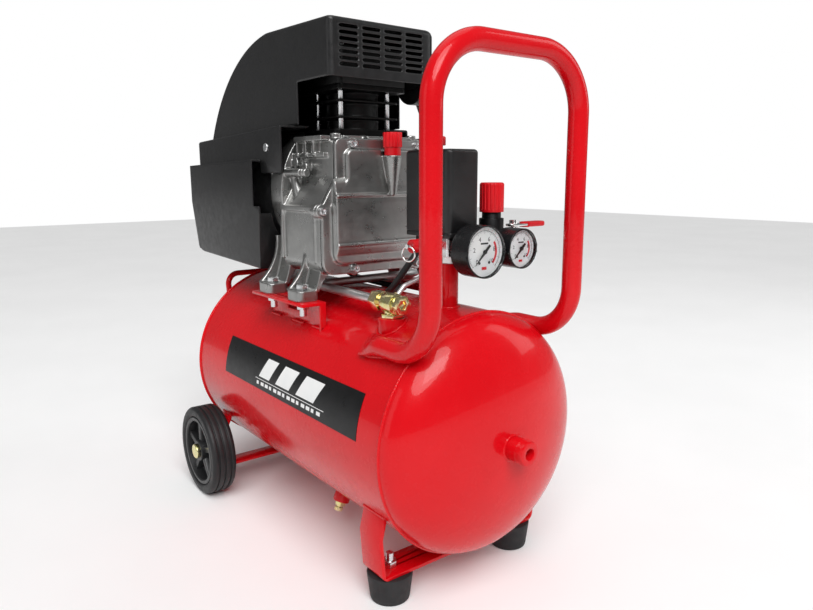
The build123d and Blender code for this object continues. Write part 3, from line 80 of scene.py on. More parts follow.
def softbox(name, place, size, watts):
    """A rectangular lamp aimed at the middle of the machine."""
    data = bpy.data.lights.new(name, "AREA")
    data.shape = "RECTANGLE"
    data.size, data.size_y = size
    data.energy = watts
    lamp = bpy.data.objects.new(name, data)
    lamp.location = place
    lamp.rotation_euler = (LAMP_TARGET - Vector(place)).to_track_quat("-Z", "Y").to_euler()
    scene.collection.objects.link(lamp)


softbox("key", (-0.6, -1.9, 1.9), (1.1, 0.8), 11)
softbox("left_fill", (-2.2, 0.3, 0.9), (1.0, 1.6), 4)
softbox("right_rim", (1.7, -0.9, 1.3), (0.7, 1.4), 6)
softbox("top", (0.1, 0.3, 2.2), (1.6, 1.6), 6)
sun_data = bpy.data.lights.new("window", "SUN")
sun_data.energy, sun_data.angle = 2.5, radians(45)
window = bpy.data.objects.new("window", sun_data)
window.rotation_euler = SUN_DIRECTION.to_track_quat("-Z", "Y").to_euler()
scene.collection.objects.link(window)


def studio_world():
    """White where the camera sees it, grey in reflections and as fill."""
    world = bpy.data.worlds.new("studio")
    world.use_nodes = True
    scene.world = world
    tree = world.node_tree
    fill = tree.nodes["Background"]
    fill.inputs["Color"].default_value = (1, 1, 1, 1)
    fill.inputs["Strength"].default_value = 0.20
    paper = tree.nodes.new("ShaderNodeBackground")
    paper.inputs["Color"].default_value = (1, 1, 1, 1)
    paper.inputs["Strength"].default_value = 1.0
    seen = tree.nodes.new("ShaderNodeLightPath")
    mix = tree.nodes.new("ShaderNodeMixShader")
    tree.links.new(seen.outputs["Is Camera Ray"], mix.inputs[0])
    tree.links.new(fill.outputs[0], mix.inputs[1])
    tree.links.new(paper.outputs[0], mix.inputs[2])
    tree.links.new(mix.outputs[0], tree.nodes["World Output"].inputs["Surface"])


studio_world()

# ---------------------------------------------------------------- procedural materials


class Finish:
    """One Principled material whose colour, roughness and relief come from procedural nodes."""

    def __init__(self, name, **constants):
        self.material = bpy.data.materials.new(name)
        self.material.use_nodes = True
        self.tree = self.material.node_tree
        self.bsdf = self.tree.nodes["Principled BSDF"]
        self.where = self.node("ShaderNodeTexCoord").outputs["Object"]
        self.relief = None
        for socket, value in constants.items():
            self.bsdf.inputs[socket.replace("_", " ")].default_value = value

    def node(self, kind, **inputs):
        """Adds a node; each input is a value or another node's output."""
        made = self.tree.nodes.new(kind)
        for socket, value in inputs.items():
            self.feed(made.inputs[socket.replace("_", " ")], value)
        return made

    def feed(self, socket, value):
        if isinstance(value, bpy.types.NodeSocket):
            self.tree.links.new(value, socket)
        else:
            socket.default_value = value

    def stretched(self, factors):
        return self.node("ShaderNodeMapping", Vector=self.where, Scale=factors).outputs["Vector"]

    def noise(self, scale, detail=3, roughness=0.5, distortion=0, where=None):
        made = self.node("ShaderNodeTexNoise", Vector=where or self.where, Scale=scale, Detail=detail,
                         Roughness=roughness, Distortion=distortion)
        return made.outputs["Fac"]

    def cells(self, scale, feature="F1", randomness=1.0, where=None):
        made = self.node("ShaderNodeTexVoronoi", Vector=where or self.where, Scale=scale,
                         Randomness=randomness)
        made.feature = feature
        return made.outputs["Distance"]

    def span(self, value, low, high, from_low=0.3, from_high=0.7):
        """Maps the middle of a noise onto low to high."""
        made = self.node("ShaderNodeMapRange", Value=value, From_Min=from_low, From_Max=from_high,
                         To_Min=low, To_Max=high)
        return made.outputs["Result"]

    def blend(self, factor, first, second):
        made = self.tree.nodes.new("ShaderNodeMix")
        made.data_type = "RGBA"
        self.feed(made.inputs[0], factor)
        self.feed(made.inputs[6], first)
        self.feed(made.inputs[7], second)
        return made.outputs[2]

    def edges(self, low=0.52, high=0.62):
        """0 on flats and in hollows, rising to 1 on outward edges."""
        point = self.node("ShaderNodeNewGeometry").outputs["Pointiness"]
        return self.span(point, 0.0, 1.0, low, high)

    def colour(self, value):
        self.feed(self.bsdf.inputs["Base Color"], value)

    def roughness(self, value):
        self.feed(self.bsdf.inputs["Roughness"], value)

    def bump(self, height, depth, strength=1.0):
        """Adds one layer of relief; depth is in metres."""
        made = self.node("ShaderNodeBump", Height=height, Distance=depth, Strength=strength)
        if self.relief:
            self.feed(made.inputs["Normal"], self.relief)
        self.relief = made.outputs["Normal"]
        self.feed(self.bsdf.inputs["Normal"], self.relief)


def rgb(r, g, b):
    return (r, g, b, 1.0)


def paint_finish():
    """Red gloss paint with a faint orange peel."""
    f = Finish("red_gloss_paint", Coat_Weight=0.35, Coat_Roughness=0.05, Specular_IOR_Level=0.12)
    cloud = f.noise(9, 4, 0.55)
    f.colour(f.blend(f.span(cloud, 0, 1), rgb(0.58, 0.002, 0.006), rgb(0.66, 0.004, 0.009)))
    f.roughness(f.span(f.noise(60, 5, 0.6), 0.20, 0.32))
    f.bump(f.noise(420, 2, 0.4), 0.00006)
    f.bump(f.noise(2600, 2, 0.5), 0.000008)
    return f.material


def film_finish(name, low, high, rough):
    """Smooth printed film or plastic."""
    f = Finish(name, Specular_IOR_Level=0.3)
    f.colour(f.blend(f.span(f.noise(30, 4), 0, 1), low, high))
    f.roughness(f.span(f.noise(90, 5), rough, rough + 0.14))
    f.bump(f.noise(700, 3), 0.00002)
    return f.material


def cast_finish():
    """Bright cast aluminium with clouds and dark specks, its outward edges lightened as a painted highlight.
    """
    f = Finish("cast_aluminium", Metallic=0.92)
    flow = f.noise(26, 6, 0.62, 0.6)
    fine = f.noise(260, 4, 0.6)
    body = f.blend(f.span(flow, 0, 1), rgb(0.30, 0.30, 0.295), rgb(0.40, 0.40, 0.39))
    body = f.blend(f.span(fine, 0, 0.12), body, rgb(0.24, 0.24, 0.235))
    # painted highlight: outward edges, found by pointiness, are lightened towards pale grey
    f.colour(f.blend(f.edges(), body, rgb(0.72, 0.72, 0.71)))
    f.roughness(f.span(f.noise(70, 5, 0.6), 0.24, 0.38))
    f.bump(f.noise(1500, 3, 0.6), 0.00004)
    f.bump(f.noise(45, 3, 0.5), 0.00014)
    return f.material


def moulded_finish(name, low, high, rough, pebble_scale, depth):
    """Moulded plastic with the leathery grain of a textured tool."""
    f = Finish(name, Specular_IOR_Level=0.50)
    f.colour(f.blend(f.span(f.noise(22, 5, 0.6), 0.2, 0.8), low, high))
    f.roughness(f.span(f.noise(120, 4), rough, rough + 0.14))
    pebbles = f.cells(pebble_scale, "SMOOTH_F1")
    f.bump(pebbles, depth)
    f.bump(f.noise(pebble_scale * 2.2, 2), depth * 0.4)
    return f.material


def metal_finish(name, low, high, rough, grain, depth, stretch=(1, 1, 1), edge=None):
    """Bare, plated or enamelled metal; stretch draws its grain out and edge, if given, is a lighter colour
    laid on outward edges.
    """
    f = Finish(name, Metallic=1.0)
    base = f.blend(f.span(f.noise(55, 4, 0.6), 0, 1), low, high)
    if edge:
        base = f.blend(f.edges(), base, edge)
    f.colour(base)
    f.roughness(f.span(f.noise(140, 5, 0.6), rough, rough + 0.16))
    f.bump(f.noise(grain, 3, 0.6, where=f.stretched(stretch)), depth)
    return f.material


def passivated_finish():
    """Yellow passivated zinc, with its drift towards green and pink."""
    f = Finish("yellow_zinc", Metallic=1.0)
    drift = f.noise(70, 3, 0.5, 0.8)
    base = f.blend(f.span(drift, 0, 1, 0.35, 0.65), rgb(0.70, 0.68, 0.24), rgb(0.86, 0.66, 0.33))
    f.colour(f.blend(f.span(f.noise(150, 3), 0, 0.5), base, rgb(0.86, 0.82, 0.62)))
    f.roughness(f.span(f.noise(200, 4), 0.12, 0.30))
    f.bump(f.noise(1400, 3), 0.00002)
    return f.material


def rubber_finish(name, low, high, rough):
    f = Finish(name, Specular_IOR_Level=0.35)
    f.colour(f.blend(f.span(f.noise(60, 5, 0.6), 0, 1), low, high))
    f.roughness(f.span(f.noise(160, 4), rough, rough + 0.15))
    f.bump(f.noise(1800, 3, 0.6), 0.00005)
    f.bump(f.noise(240, 3), 0.00008)
    return f.material


def lens_finish():
    f = Finish("clear_lens", Transmission_Weight=1.0, IOR=1.2)
    f.roughness(f.span(f.noise(60, 3), 0.0, 0.03))
    f.colour(f.blend(f.span(f.noise(30, 2), 0, 1), rgb(0.97, 0.98, 0.99), rgb(1, 1, 1)))
    return f.material


def floor_finish():
    f = Finish("floor", Specular_IOR_Level=0.2)
    f.colour(f.blend(f.span(f.noise(3, 4), 0, 1), rgb(0.92, 0.92, 0.92), rgb(0.95, 0.95, 0.95)))
    f.roughness(f.span(f.noise(20, 4), 0.55, 0.7))
    return f.material


FINISHES = {
    "tank_paint": paint_finish(),
    "label_film": film_finish("label_black", rgb(0.004, 0.004, 0.0045), rgb(0.006, 0.006, 0.0065),
                              0.26),
    "black_plastic": moulded_finish("black_grained_plastic", rgb(0.006, 0.006, 0.0065),
                                    rgb(0.011, 0.011, 0.0115), 0.30, 1100, 0.00007),
    "wheel_plastic": moulded_finish("wheel_plastic", rgb(0.010, 0.010, 0.011), rgb(0.018, 0.018, 0.019),
                                    0.30, 1500, 0.00006),
    "tyre": rubber_finish("tyre_rubber", rgb(0.009, 0.009, 0.010), rgb(0.017, 0.017, 0.018), 0.42),
    "foot_rubber": rubber_finish("foot_rubber", rgb(0.012, 0.012, 0.013), rgb(0.022, 0.022, 0.023),
                                 0.55),
    "cast_aluminium": cast_finish(),
    "black_iron": metal_finish("black_enamelled_iron", rgb(0.012, 0.012, 0.012),
                               rgb(0.022, 0.022, 0.022), 0.34, 900, 0.00012,
                               edge=rgb(0.06, 0.06, 0.06)),
    "zinc_steel": metal_finish("zinc_plate", rgb(0.62, 0.63, 0.64), rgb(0.76, 0.77, 0.78), 0.20,
                               1200, 0.00002),
    "yellow_zinc": passivated_finish(),
    "brass": passivated_finish(),
    "pipe_aluminium": metal_finish("drawn_aluminium", rgb(0.62, 0.62, 0.62), rgb(0.74, 0.74, 0.74),
                                   0.34, 1300, 0.00003),
    "red_plastic": film_finish("red_plastic", rgb(0.60, 0.004, 0.010), rgb(0.70, 0.008, 0.014), 0.30),
    "black_zinc": metal_finish("black_die_casting", rgb(0.020, 0.020, 0.021), rgb(0.032, 0.032, 0.033),
                               0.34, 900, 0.00005),
    "gauge_black": film_finish("gauge_black", rgb(0.008, 0.008, 0.009), rgb(0.014, 0.014, 0.015), 0.18),
    "dial_white": film_finish("dial_white", rgb(0.80, 0.81, 0.81), rgb(0.86, 0.86, 0.85), 0.40),
    "needle_black": film_finish("needle_black", rgb(0.010, 0.010, 0.010), rgb(0.018, 0.018, 0.018),
                                0.35),
    "lens": lens_finish(),
    "chrome": metal_finish("nickel_plate", rgb(0.78, 0.78, 0.77), rgb(0.88, 0.88, 0.87), 0.07,
                           900, 0.000008),
    "lamination_steel": metal_finish("laminations", rgb(0.30, 0.30, 0.31), rgb(0.40, 0.40, 0.41),
                                     0.36, 260, 0.00015, stretch=(0.1, 8, 0.1)),
    "machined_steel": metal_finish("ground_steel", rgb(0.55, 0.55, 0.56), rgb(0.66, 0.66, 0.67), 0.16,
                                   900, 0.00002, stretch=(1, 6, 1)),
    "gasket": rubber_finish("fibre_gasket", rgb(0.03, 0.03, 0.03), rgb(0.05, 0.05, 0.05), 0.7),
    "cable": rubber_finish("cable_sheath", rgb(0.012, 0.012, 0.013), rgb(0.020, 0.020, 0.021), 0.42),
}

# ---------------------------------------------------------------- floor
floor_mesh = bpy.data.meshes.new("floor")
floor_mesh.from_pydata([(x, y, 0) for x, y in ((-6, -6), (6, -6), (6, 6), (-6, 6))], [], [(0, 1, 2, 3)])
floor = bpy.data.objects.new("floor", floor_mesh)
floor_mesh.materials.append(floor_finish())
scene.collection.objects.link(floor)

# ---------------------------------------------------------------- mesh helpers


def add_piece(bm, name, slot, body="machine", nodes=(), crease=35):
    """Turns a bmesh into a finished piece that rides on a body and may stand for CAD nodes.

    Edges sharper than crease degrees stay sharp; 0 makes everything smooth.
    """
    bmesh.ops.recalc_face_normals(bm, faces=bm.faces)
    dress(as_object(bm, name), slot, body, nodes, crease)


def dress(piece, slot, body, nodes=(), crease=35):
    """Gives a piece its finish, its smooth shading and its body."""
    mesh = piece.data
    mesh.materials.clear()
    mesh.materials.append(FINISHES[slot])
    mesh.polygons.foreach_set("use_smooth", [True] * len(mesh.polygons))
    if crease:
        mesh.set_sharp_from_angle(angle=radians(crease))
    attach(piece, body)
    if nodes:
        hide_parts(*nodes)


FLAT = radians(0.4)      # faces that lean less than this belong to one flat area


def inner_edges(bm):
    """The edges inside flat areas without holes; an area with a hole has to keep its triangles.

    Faces and edges are gone through in the mesh's own order, so every run gives the same list.
    """
    seen, picked = set(), []
    for seed in bm.faces:
        if seed in seen:
            continue
        seen.add(seed)
        area, waiting = [seed], [seed]
        while waiting:
            for edge in waiting.pop().edges:
                for other in edge.link_faces:
                    if other not in seen and other.normal.angle(seed.normal, pi) < FLAT:
                        seen.add(other)
                        area.append(other)
                        waiting.append(other)
        verts = {vert for face in area for vert in face.verts}
        edges = dict.fromkeys(edge for face in area for edge in face.edges)
        if len(area) > 1 and len(verts) - len(edges) + len(area) == 1:
            members = set(area)
            picked += [edge for edge in edges
                       if len(edge.link_faces) == 2 and members.issuperset(edge.link_faces)]
    return picked


def cad_copy(node):
    """A cleaned bmesh of a CAD node: one vertex per corner and flat areas in one face."""
    source = NODES[node].data
    bm = bmesh.new()
    verts = [bm.verts.new(v.co) for v in source.vertices]
    for polygon in source.polygons:
        corners = [verts[i] for i in polygon.vertices]
        try:
            bm.faces.new(corners)
        except ValueError:
            continue
    bmesh.ops.remove_doubles(bm, verts=bm.verts, dist=2e-6)
    bmesh.ops.dissolve_degenerate(bm, dist=1e-6, edges=bm.edges)
    bm.normal_update()
    bmesh.ops.dissolve_edges(bm, edges=inner_edges(bm), use_verts=False)
    return bm


def applied(piece):
    """Bakes a piece's modifiers into its mesh."""
    shown = piece.evaluated_get(bpy.context.evaluated_depsgraph_get())
    mesh = bpy.data.meshes.new_from_object(shown)
    piece.modifiers.clear()
    piece.data = mesh


def as_object(bm, name):
    """Links a bmesh as an object of its own and frees it."""
    mesh = bpy.data.meshes.new(name)
    bm.to_mesh(mesh)
    bm.free()
    piece = bpy.data.objects.new(name, mesh)
    scene.collection.objects.link(piece)
    return piece


def big_bevel(bm, width, segments, chosen):
    """Rounds the outward edges that chosen picks by their middle and direction."""
    bm.normal_update()
    picked = []
    for edge in bm.edges:
        if len(edge.link_faces) == 2 and edge.is_convex and edge.calc_face_angle(0) > radians(30):
            start, end = (v.co for v in edge.verts)
            if chosen((start + end) / 2, (end - start).normalized()):
                picked.append(edge)
    bmesh.ops.bevel(bm, geom=picked, offset=width, segments=segments, profile=0.5,
                    affect="EDGES", clamp_overlap=False)


def rounded(node, width, first=None):
    """The CAD node with its edges rounded; first = (width, segments, chosen) rounds some of them more."""
    bm = cad_copy(node)
    if first:
        big_bevel(bm, *first)
    piece = as_object(bm, node + "_finished")
    bevel = piece.modifiers.new("bevel", "BEVEL")
    bevel.width, bevel.segments = width, 2
    bevel.limit_method, bevel.angle_limit = "ANGLE", radians(32)
    bevel.use_clamp_overlap = False
    applied(piece)
    dress(piece, SLOT_OF[node], BODY_OF[node], [node], 40)


def casting(node, extras, voxel, rounds, shape=None):
    """The CAD node and its extra ribs melted into one skin with soft edges.

    voxel is the skin's grain, rounds the number of smoothing steps, and shape(point) may move points.
    """
    bm = cad_copy(node)
    for extra in extras:
        extra(bm)
    piece = as_object(bm, node + "_cast")
    skin = piece.modifiers.new("skin", "REMESH")
    skin.mode, skin.voxel_size = "VOXEL", voxel
    soften = piece.modifiers.new("soften", "SMOOTH")
    soften.factor, soften.iterations = 0.5, rounds
    applied(piece)
    if shape:
        for vertex in piece.data.vertices:
            vertex.co = shape(vertex.co)
    dress(piece, SLOT_OF[node], BODY_OF[node], [node], 0)


def prism(bm, outline, normal, depth):
    """A closed prism: a flat outline of points pushed along a direction."""
    push = Vector(normal).normalized() * depth
    near = [bm.verts.new(p) for p in outline]
    far = [bm.verts.new(Vector(p) + push) for p in outline]
    count = len(near)
    bm.faces.new(near[::-1])
    bm.faces.new(far)
    for i in range(count):
        j = (i + 1) % count
        bm.faces.new((near[i], near[j], far[j], far[i]))


def block(bm, low, high):
    """A box between two corners."""
    (x0, y0, z0), (x1, y1, z1) = low, high
    prism(bm, [(x0, y0, z0), (x1, y0, z0), (x1, y1, z0), (x0, y1, z0)], (0, 0, 1), z1 - z0)


def across(direction):
    """Two directions square to a given one and to each other."""
    along = Vector(direction).normalized()
    helper = Vector((0, 0, 1)) if abs(along.z) < 0.9 else Vector((1, 0, 0))
    side = along.cross(helper).normalized()
    return side, side.cross(along)


def spokes(direction, steps):
    """Unit vectors square to a direction, evenly spaced round one turn."""
    side, up = across(direction)
    return [side * cos(tau * k / steps) + up * sin(tau * k / steps) for k in range(steps)]


def turned(bm, origin, axis, profile, steps=48):
    """A solid of revolution: profile holds pairs of a distance along the axis and a radius.

    It starts and ends on the axis, or comes back to its first point.
    """
    origin, along = Vector(origin), Vector(axis).normalized()
    outward = spokes(along, steps)
    rings = []
    for distance, radius in profile:
        centre = origin + along * distance
        if radius < 1e-7:
            rings.append([bm.verts.new(centre)])
            continue
        rings.append([bm.verts.new(centre + spoke * radius) for spoke in outward])
    for ring, following in zip(rings, rings[1:]):
        for k in range(steps):
            m = (k + 1) % steps
            corners = [ring[k % len(ring)], ring[m % len(ring)],
                       following[m % len(following)], following[k % len(following)]]
            unique = list(dict.fromkeys(corners))
            if len(unique) > 2:
                bm.faces.new(unique)


def rod(bm, start, end, start_radius, end_radius=None):
    """A cylinder, or a cone when its two radii differ."""
    start, end = Vector(start), Vector(end)
    length = (end - start).length
    finish = start_radius if end_radius is None else end_radius
    turned(bm, start, end - start, [(0, 0), (0, start_radius), (length, finish), (length, 0)], 24)


def swept(bm, path, section, closed=False, normal=(0, 0, 1)):
    """Sweeps a section along a path: section(t), t from 0 to 1, gives pairs of side and up offsets."""
    count = len(path)
    steer = Vector(normal)
    rings = []
    for i, point in enumerate(path):
        before = path[i - 1] if i or closed else path[i]
        after = path[(i + 1) % count] if i + 1 < count or closed else path[i]
        along = (Vector(after) - Vector(before)).normalized()
        steer = (steer - along * steer.dot(along)).normalized()
        side = along.cross(steer)
        outline = section(i / (count - 1))
        rings.append([bm.verts.new(Vector(point) + side * a + steer * b) for a, b in outline])
    sides = len(rings[0])
    spans = count if closed else count - 1
    for i in range(spans):
        ring, following = rings[i], rings[(i + 1) % count]
        for k in range(sides):
            m = (k + 1) % sides
            bm.faces.new((ring[k], ring[m], following[m], following[k]))
    if not closed:
        bm.faces.new(rings[0][::-1])
        bm.faces.new(rings[-1])


def oval(width, height, sides):
    """Points of an ellipse with these half axes."""
    return [(width * cos(tau * k / sides), height * sin(tau * k / sides)) for k in range(sides)]


def bead(bm, path, radius, closed=True, normal=(0, 0, 1), seed=1, ripple=2.4 * MM):
    """A weld bead: a low tube with overlapping ripples, half sunk in the joint."""
    dice = Random(seed)
    lengths = [(Vector(b) - Vector(a)).length for a, b in zip(path, path[1:])]
    total = sum(lengths)
    drift = [dice.uniform(-1, 1) for _ in range(12)]

    def section(t):
        wave = abs(sin(pi * t * total / ripple))
        slow = drift[int(t * 11.999) % 12] * 0.04 + 0.05 * sin(9 * t + seed)
        size = radius * (0.90 + 0.14 * wave + slow)
        return oval(size, size * 0.8, 10)

    swept(bm, path, section, closed, normal)


BEAD_STEP = 0.7 * MM      # spacing of the points along a bead
SEAT = 0.4 * MM      # how far a straight bead or a seam is moved into its corner


def ring_path(origin, axis, radius):
    """Points round a circle, for a bead."""
    count = max(24, int(tau * radius / BEAD_STEP))
    return [Vector(origin) + spoke * radius for spoke in spokes(axis, count)]


# ---------------------------------------------------------------- tank: seams, welds and handle
tank_low, tank_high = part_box("tank_shell")
TANK_R = (tank_high.x - tank_low.x) / 2
TANK_Z = (tank_high.z + tank_low.z) / 2
SEAMS = tank_low.y, tank_high.y
DRAIN_TILT = radians(22.5)
SADDLE_EDGE_X, GRIP_END_X = 85.2 * MM, 66 * MM


def shell_z(x):
    """Height of the top of the shell at a given x."""
    return TANK_Z + sqrt(TANK_R * TANK_R - x * x)


def saddle_path(foot, direction, radius):
    """Where a round fitting of that radius, standing on foot along direction, meets the shell."""
    along = Vector(direction).normalized()
    side = along.cross(Vector((0, 1, 0))).normalized()
    steps = int(tau * radius / BEAD_STEP)
    points = []
    for k in range(steps):
        turn = tau * k / steps
        base = Vector(foot) + side * radius * cos(turn) + Vector((0, radius * sin(turn), 0))
        off = Vector((base.x, 0, base.z - TANK_Z))
        reach = -off.dot(along) + sqrt(off.dot(along) ** 2 - off.length_squared + TANK_R ** 2)
        points.append(base + along * reach)
    return points


def straight_path(start, end):
    """Points along a line, for a bead."""
    start, end = Vector(start), Vector(end)
    steps = max(2, int((end - start).length / BEAD_STEP))
    return [start.lerp(end, k / steps) for k in range(steps + 1)]


def bungs():
    """Axis foot, direction and radius of the three fittings on the shell."""
    low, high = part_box("check_valve")
    check_x = (low.x + high.x) / 2
    check_y = high.y - 16 * MM
    low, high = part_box("switch_manifold")
    riser_y = (low.y + high.y) / 2
    low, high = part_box("drain_valve_body")
    drain_y = (low.y + high.y) / 2
    return [((check_x, check_y, TANK_Z), (0, 0, 1), 14.6 * MM),
            ((0, riser_y, TANK_Z), (0, 0, 1), 10.1 * MM),
            ((0, drain_y, TANK_Z), (-sin(DRAIN_TILT), 0, -cos(DRAIN_TILT)), 10.6 * MM)]


def front_bung_beads(bm):
    """The weld round the front bung, and five rings round it that read as its thread."""
    dish_front, bung_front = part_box("front_dished_end")[0].y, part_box("tank_bungs")[0].y
    y_axis = (0, 1, 0)
    weld = ring_path((0, dish_front + 0.5 * MM, TANK_Z), y_axis, 12.6 * MM)
    bead(bm, weld, 1.8 * MM, seed=7, normal=y_axis)
    for k in range(5):
        ring = ring_path((0, bung_front + (2.5 + 1.6 * k) * MM, TANK_Z), y_axis, 11.8 * MM)
        bead(bm, ring, 0.55 * MM, seed=30, normal=y_axis, ripple=50 * MM)


def weld_beads():
    """Beads round the seams and bungs, along the brackets and saddles, and round the rear grip's ends."""
    bm = bmesh.new()
    for seed, y in enumerate(SEAMS, 1):
        seam = ring_path((0, y, TANK_Z), (0, 1, 0), TANK_R - SEAT)
        bead(bm, seam, 2.3 * MM, seed=seed, normal=(0, 1, 0), ripple=3.2 * MM)
    for seed, (foot, direction, radius) in enumerate(bungs(), 3):
        bead(bm, saddle_path(foot, direction, radius), 1.9 * MM, normal=direction, seed=seed)
    front_bung_beads(bm)
    for side in (-1, 1):
        for node, seed in (("front_foot_bracket", 8), ("axle_bracket", 9)):
            low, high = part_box(node)
            z = high.z - SEAT
            x = side * sqrt(TANK_R ** 2 - (z - TANK_Z) ** 2)
            bead(bm, straight_path((x, low.y, z), (x, high.y, z)), 2.2 * MM, False, (1, 0, 0), seed + side)
        low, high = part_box("pump_saddles")
        x = side * SADDLE_EDGE_X
        z = shell_z(x) + SEAT
        for start, end in ((low.y, low.y + 22 * MM), (-12 * MM, 14 * MM), (high.y - 24 * MM, high.y)):
            bead(bm, straight_path((x, start, z), (x, end, z)), 2.0 * MM, False, (0, 0, 1), 12 + side)
        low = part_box("rear_grip_rod")[0]
        foot = (side * GRIP_END_X, low.y + 5.0 * MM, low.z + 2.2 * MM)
        bead(bm, ring_path(foot, (0, 0.25, 1), 4.6 * MM), 1.5 * MM, seed=15, normal=(0, 0, 1))
    add_piece(bm, "weld_beads", "tank_paint", crease=0)


HANDLE_LOW, HANDLE_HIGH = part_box("handle_tube")
TUBE_R = 10 * MM
HANDLE_X = HANDLE_HIGH.x - TUBE_R
HANDLE_Y = HANDLE_LOW.y + TUBE_R
SHOULDER_Z = HANDLE_LOW.z + TUBE_R
SHOULDER_BEND, TOP_BEND = 48 * MM, 56 * MM
FLAT_LENGTH, FLAT_HALF, FLAT_WIDE = 34 * MM, 4.2 * MM, 13.6 * MM      # the squashed ends
WELD_LENGTH, WELD_POINTS = 56 * MM, 90


def bent_path(corners, radii, step):
    """Straight runs joined by arcs, as evenly spaced points."""
    corners = [Vector(c) for c in corners]
    points = [corners[0]]
    for before, corner, after, radius in zip(corners, corners[1:], corners[2:], radii):
        into, out = (corner - before).normalized(), (after - corner).normalized()
        turn = into.angle(out)
        start = corner - into * radius * sin(turn / 2) / cos(turn / 2)
        points += straight(points[-1], start, step)
        centre = start + (out - into * into.dot(out)).normalized() * radius
        arm, steps = start - centre, max(3, int(radius * turn / step))
        for k in range(1, steps + 1):
            points.append(centre + arm * cos(turn * k / steps) + into * radius * sin(turn * k / steps))
    return points + straight(points[-1], corners[-1], step)


def straight(start, end, step):
    """Points along a line, without its start."""
    steps = max(1, int((end - start).length / step))
    return [start.lerp(end, k / steps) for k in range(1, steps + 1)]


def handle():
    """The bent tube, with both ends squashed flat on the shell."""
    out = Vector((-HANDLE_X, 0, SHOULDER_Z - TANK_Z)).normalized()
    end_y = HANDLE_HIGH.y
    corners = [(-HANDLE_X, end_y, SHOULDER_Z), (-HANDLE_X, HANDLE_Y, SHOULDER_Z),
               (-HANDLE_X, HANDLE_Y, HANDLE_HIGH.z - TUBE_R), (HANDLE_X, HANDLE_Y, HANDLE_HIGH.z - TUBE_R),
               (HANDLE_X, HANDLE_Y, SHOULDER_Z), (HANDLE_X, end_y, SHOULDER_Z)]
    path = bent_path(corners, [SHOULDER_BEND, TOP_BEND, TOP_BEND, SHOULDER_BEND], 2.5 * MM)
    squash = []
    for i, point in enumerate(path):
        near_shell = abs(point.z - SHOULDER_Z) < 1e-6
        reach = (end_y - point.y) / FLAT_LENGTH if near_shell else 1
        t = min(1, max(0, reach))
        full = t * t * (3 - 2 * t)
        squash.append((FLAT_WIDE + (TUBE_R - FLAT_WIDE) * full, FLAT_HALF + (TUBE_R - FLAT_HALF) * full))
        lean = Vector((out.x if point.x < 0 else -out.x, 0, out.z))
        path[i] = point - lean * (TUBE_R - squash[-1][1])
    bm = bmesh.new()
    swept(bm, path, lambda t: oval(*squash[round(t * (len(path) - 1))], 32), normal=out)
    add_piece(bm, "handle_tube_finished", "tank_paint", nodes=["handle_tube"], crease=50)


def handle_welds():
    """A bead along each edge of the handle's squashed ends, drawing in where the tube turns round."""
    bm = bmesh.new()
    angle = atan2(SHOULDER_Z - TANK_Z, HANDLE_X)
    reach = TANK_R + 0.5 * MM
    for side in (-1, 1):
        for sign in (-1, 1):
            path = []
            for k in range(WELD_POINTS):
                t = k / (WELD_POINTS - 1)
                y = HANDLE_HIGH.y + 1 * MM - t * WELD_LENGTH
                wide = (9.5 - 5.5 * min(1, max(0, (t - 0.25) / 0.5))) * MM
                turn = angle + sign * wide / TANK_R
                path.append(Vector((side * reach * cos(turn), y, TANK_Z + reach * sin(turn))))
            bead(bm, path, 2.2 * MM, False, (0, 0, 1), 20 + sign + 2 * side)
    add_piece(bm, "handle_welds", "tank_paint", crease=0)


weld_beads()
handle()
handle_welds()

# ---------------------------------------------------------------- label print
LABEL_LOW, LABEL_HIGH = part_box("side_label")
LABEL_EDGE = radians(4.5)      # how far the label's lower edge lies above the tank's axis
INK_R = TANK_R + 0.42 * MM
INK_T = 0.12 * MM
BAR_LEAN = 15 * MM


def on_label(y, height, radius):
    """A point on the label: height is the arc length above its lower edge."""
    turn = LABEL_EDGE + height / TANK_R
    return Vector((-radius * cos(turn), y, TANK_Z + radius * sin(turn)))


def ink(bm, low, high, front, back):
    """A printed patch from height low to high, between front(t) and back(t) along the tank."""
    steps = max(1, int((high - low) / (1.5 * MM)))
    rings = []
    for k in range(steps + 1):
        t = k / steps
        height = low + (high - low) * t
        corners = ((front(t), INK_R), (back(t), INK_R), (back(t), INK_R + INK_T), (front(t), INK_R + INK_T))
        rings.append([bm.verts.new(on_label(y, height, radius)) for y, radius in corners])
    for ring, following in zip(rings, rings[1:]):
        for k in range(4):
            m = (k + 1) % 4
            bm.faces.new((ring[k], ring[m], following[m], following[k]))
    bm.faces.new(rings[0][::-1])
    bm.faces.new(rings[-1])


def label_print():
    """A plain design of its own: three leaning bars, a rule and a row of dashes."""
    bm = bmesh.new()
    middle = (LABEL_LOW.y + LABEL_HIGH.y) / 2
    for place, width in ((58, 26), (16, 32), (-32, 38)):
        start = middle + place * MM
        ink(bm, 15 * MM, 39 * MM, lambda t, a=start, w=width: a - w * MM - BAR_LEAN * t,
            lambda t, a=start: a - BAR_LEAN * t)
    ink(bm, 11.6 * MM, 12.3 * MM, lambda t: middle - 92 * MM, lambda t: middle + 66 * MM)
    for k in range(14):
        start = middle + (62 - k * 10.8) * MM
        width = (7.4 if k % 3 else 5.2) * MM
        ink(bm, 5.2 * MM, 9.2 * MM, lambda t, a=start, w=width: a - w, lambda t, a=start: a)
    add_piece(bm, "label_print", "dial_white")


label_print()

# ---------------------------------------------------------------- gauges
GAUGE_NUMBERS = (0, 2, 4, 6, 8, 10)
GAUGE_START, GAUGE_SWEEP = radians(225), radians(270)
OUTLET_DIAL_R = 18.9 * MM
PRINT_T = 0.12 * MM
MARKS = 50      # divisions of the scale; every fifth mark is long


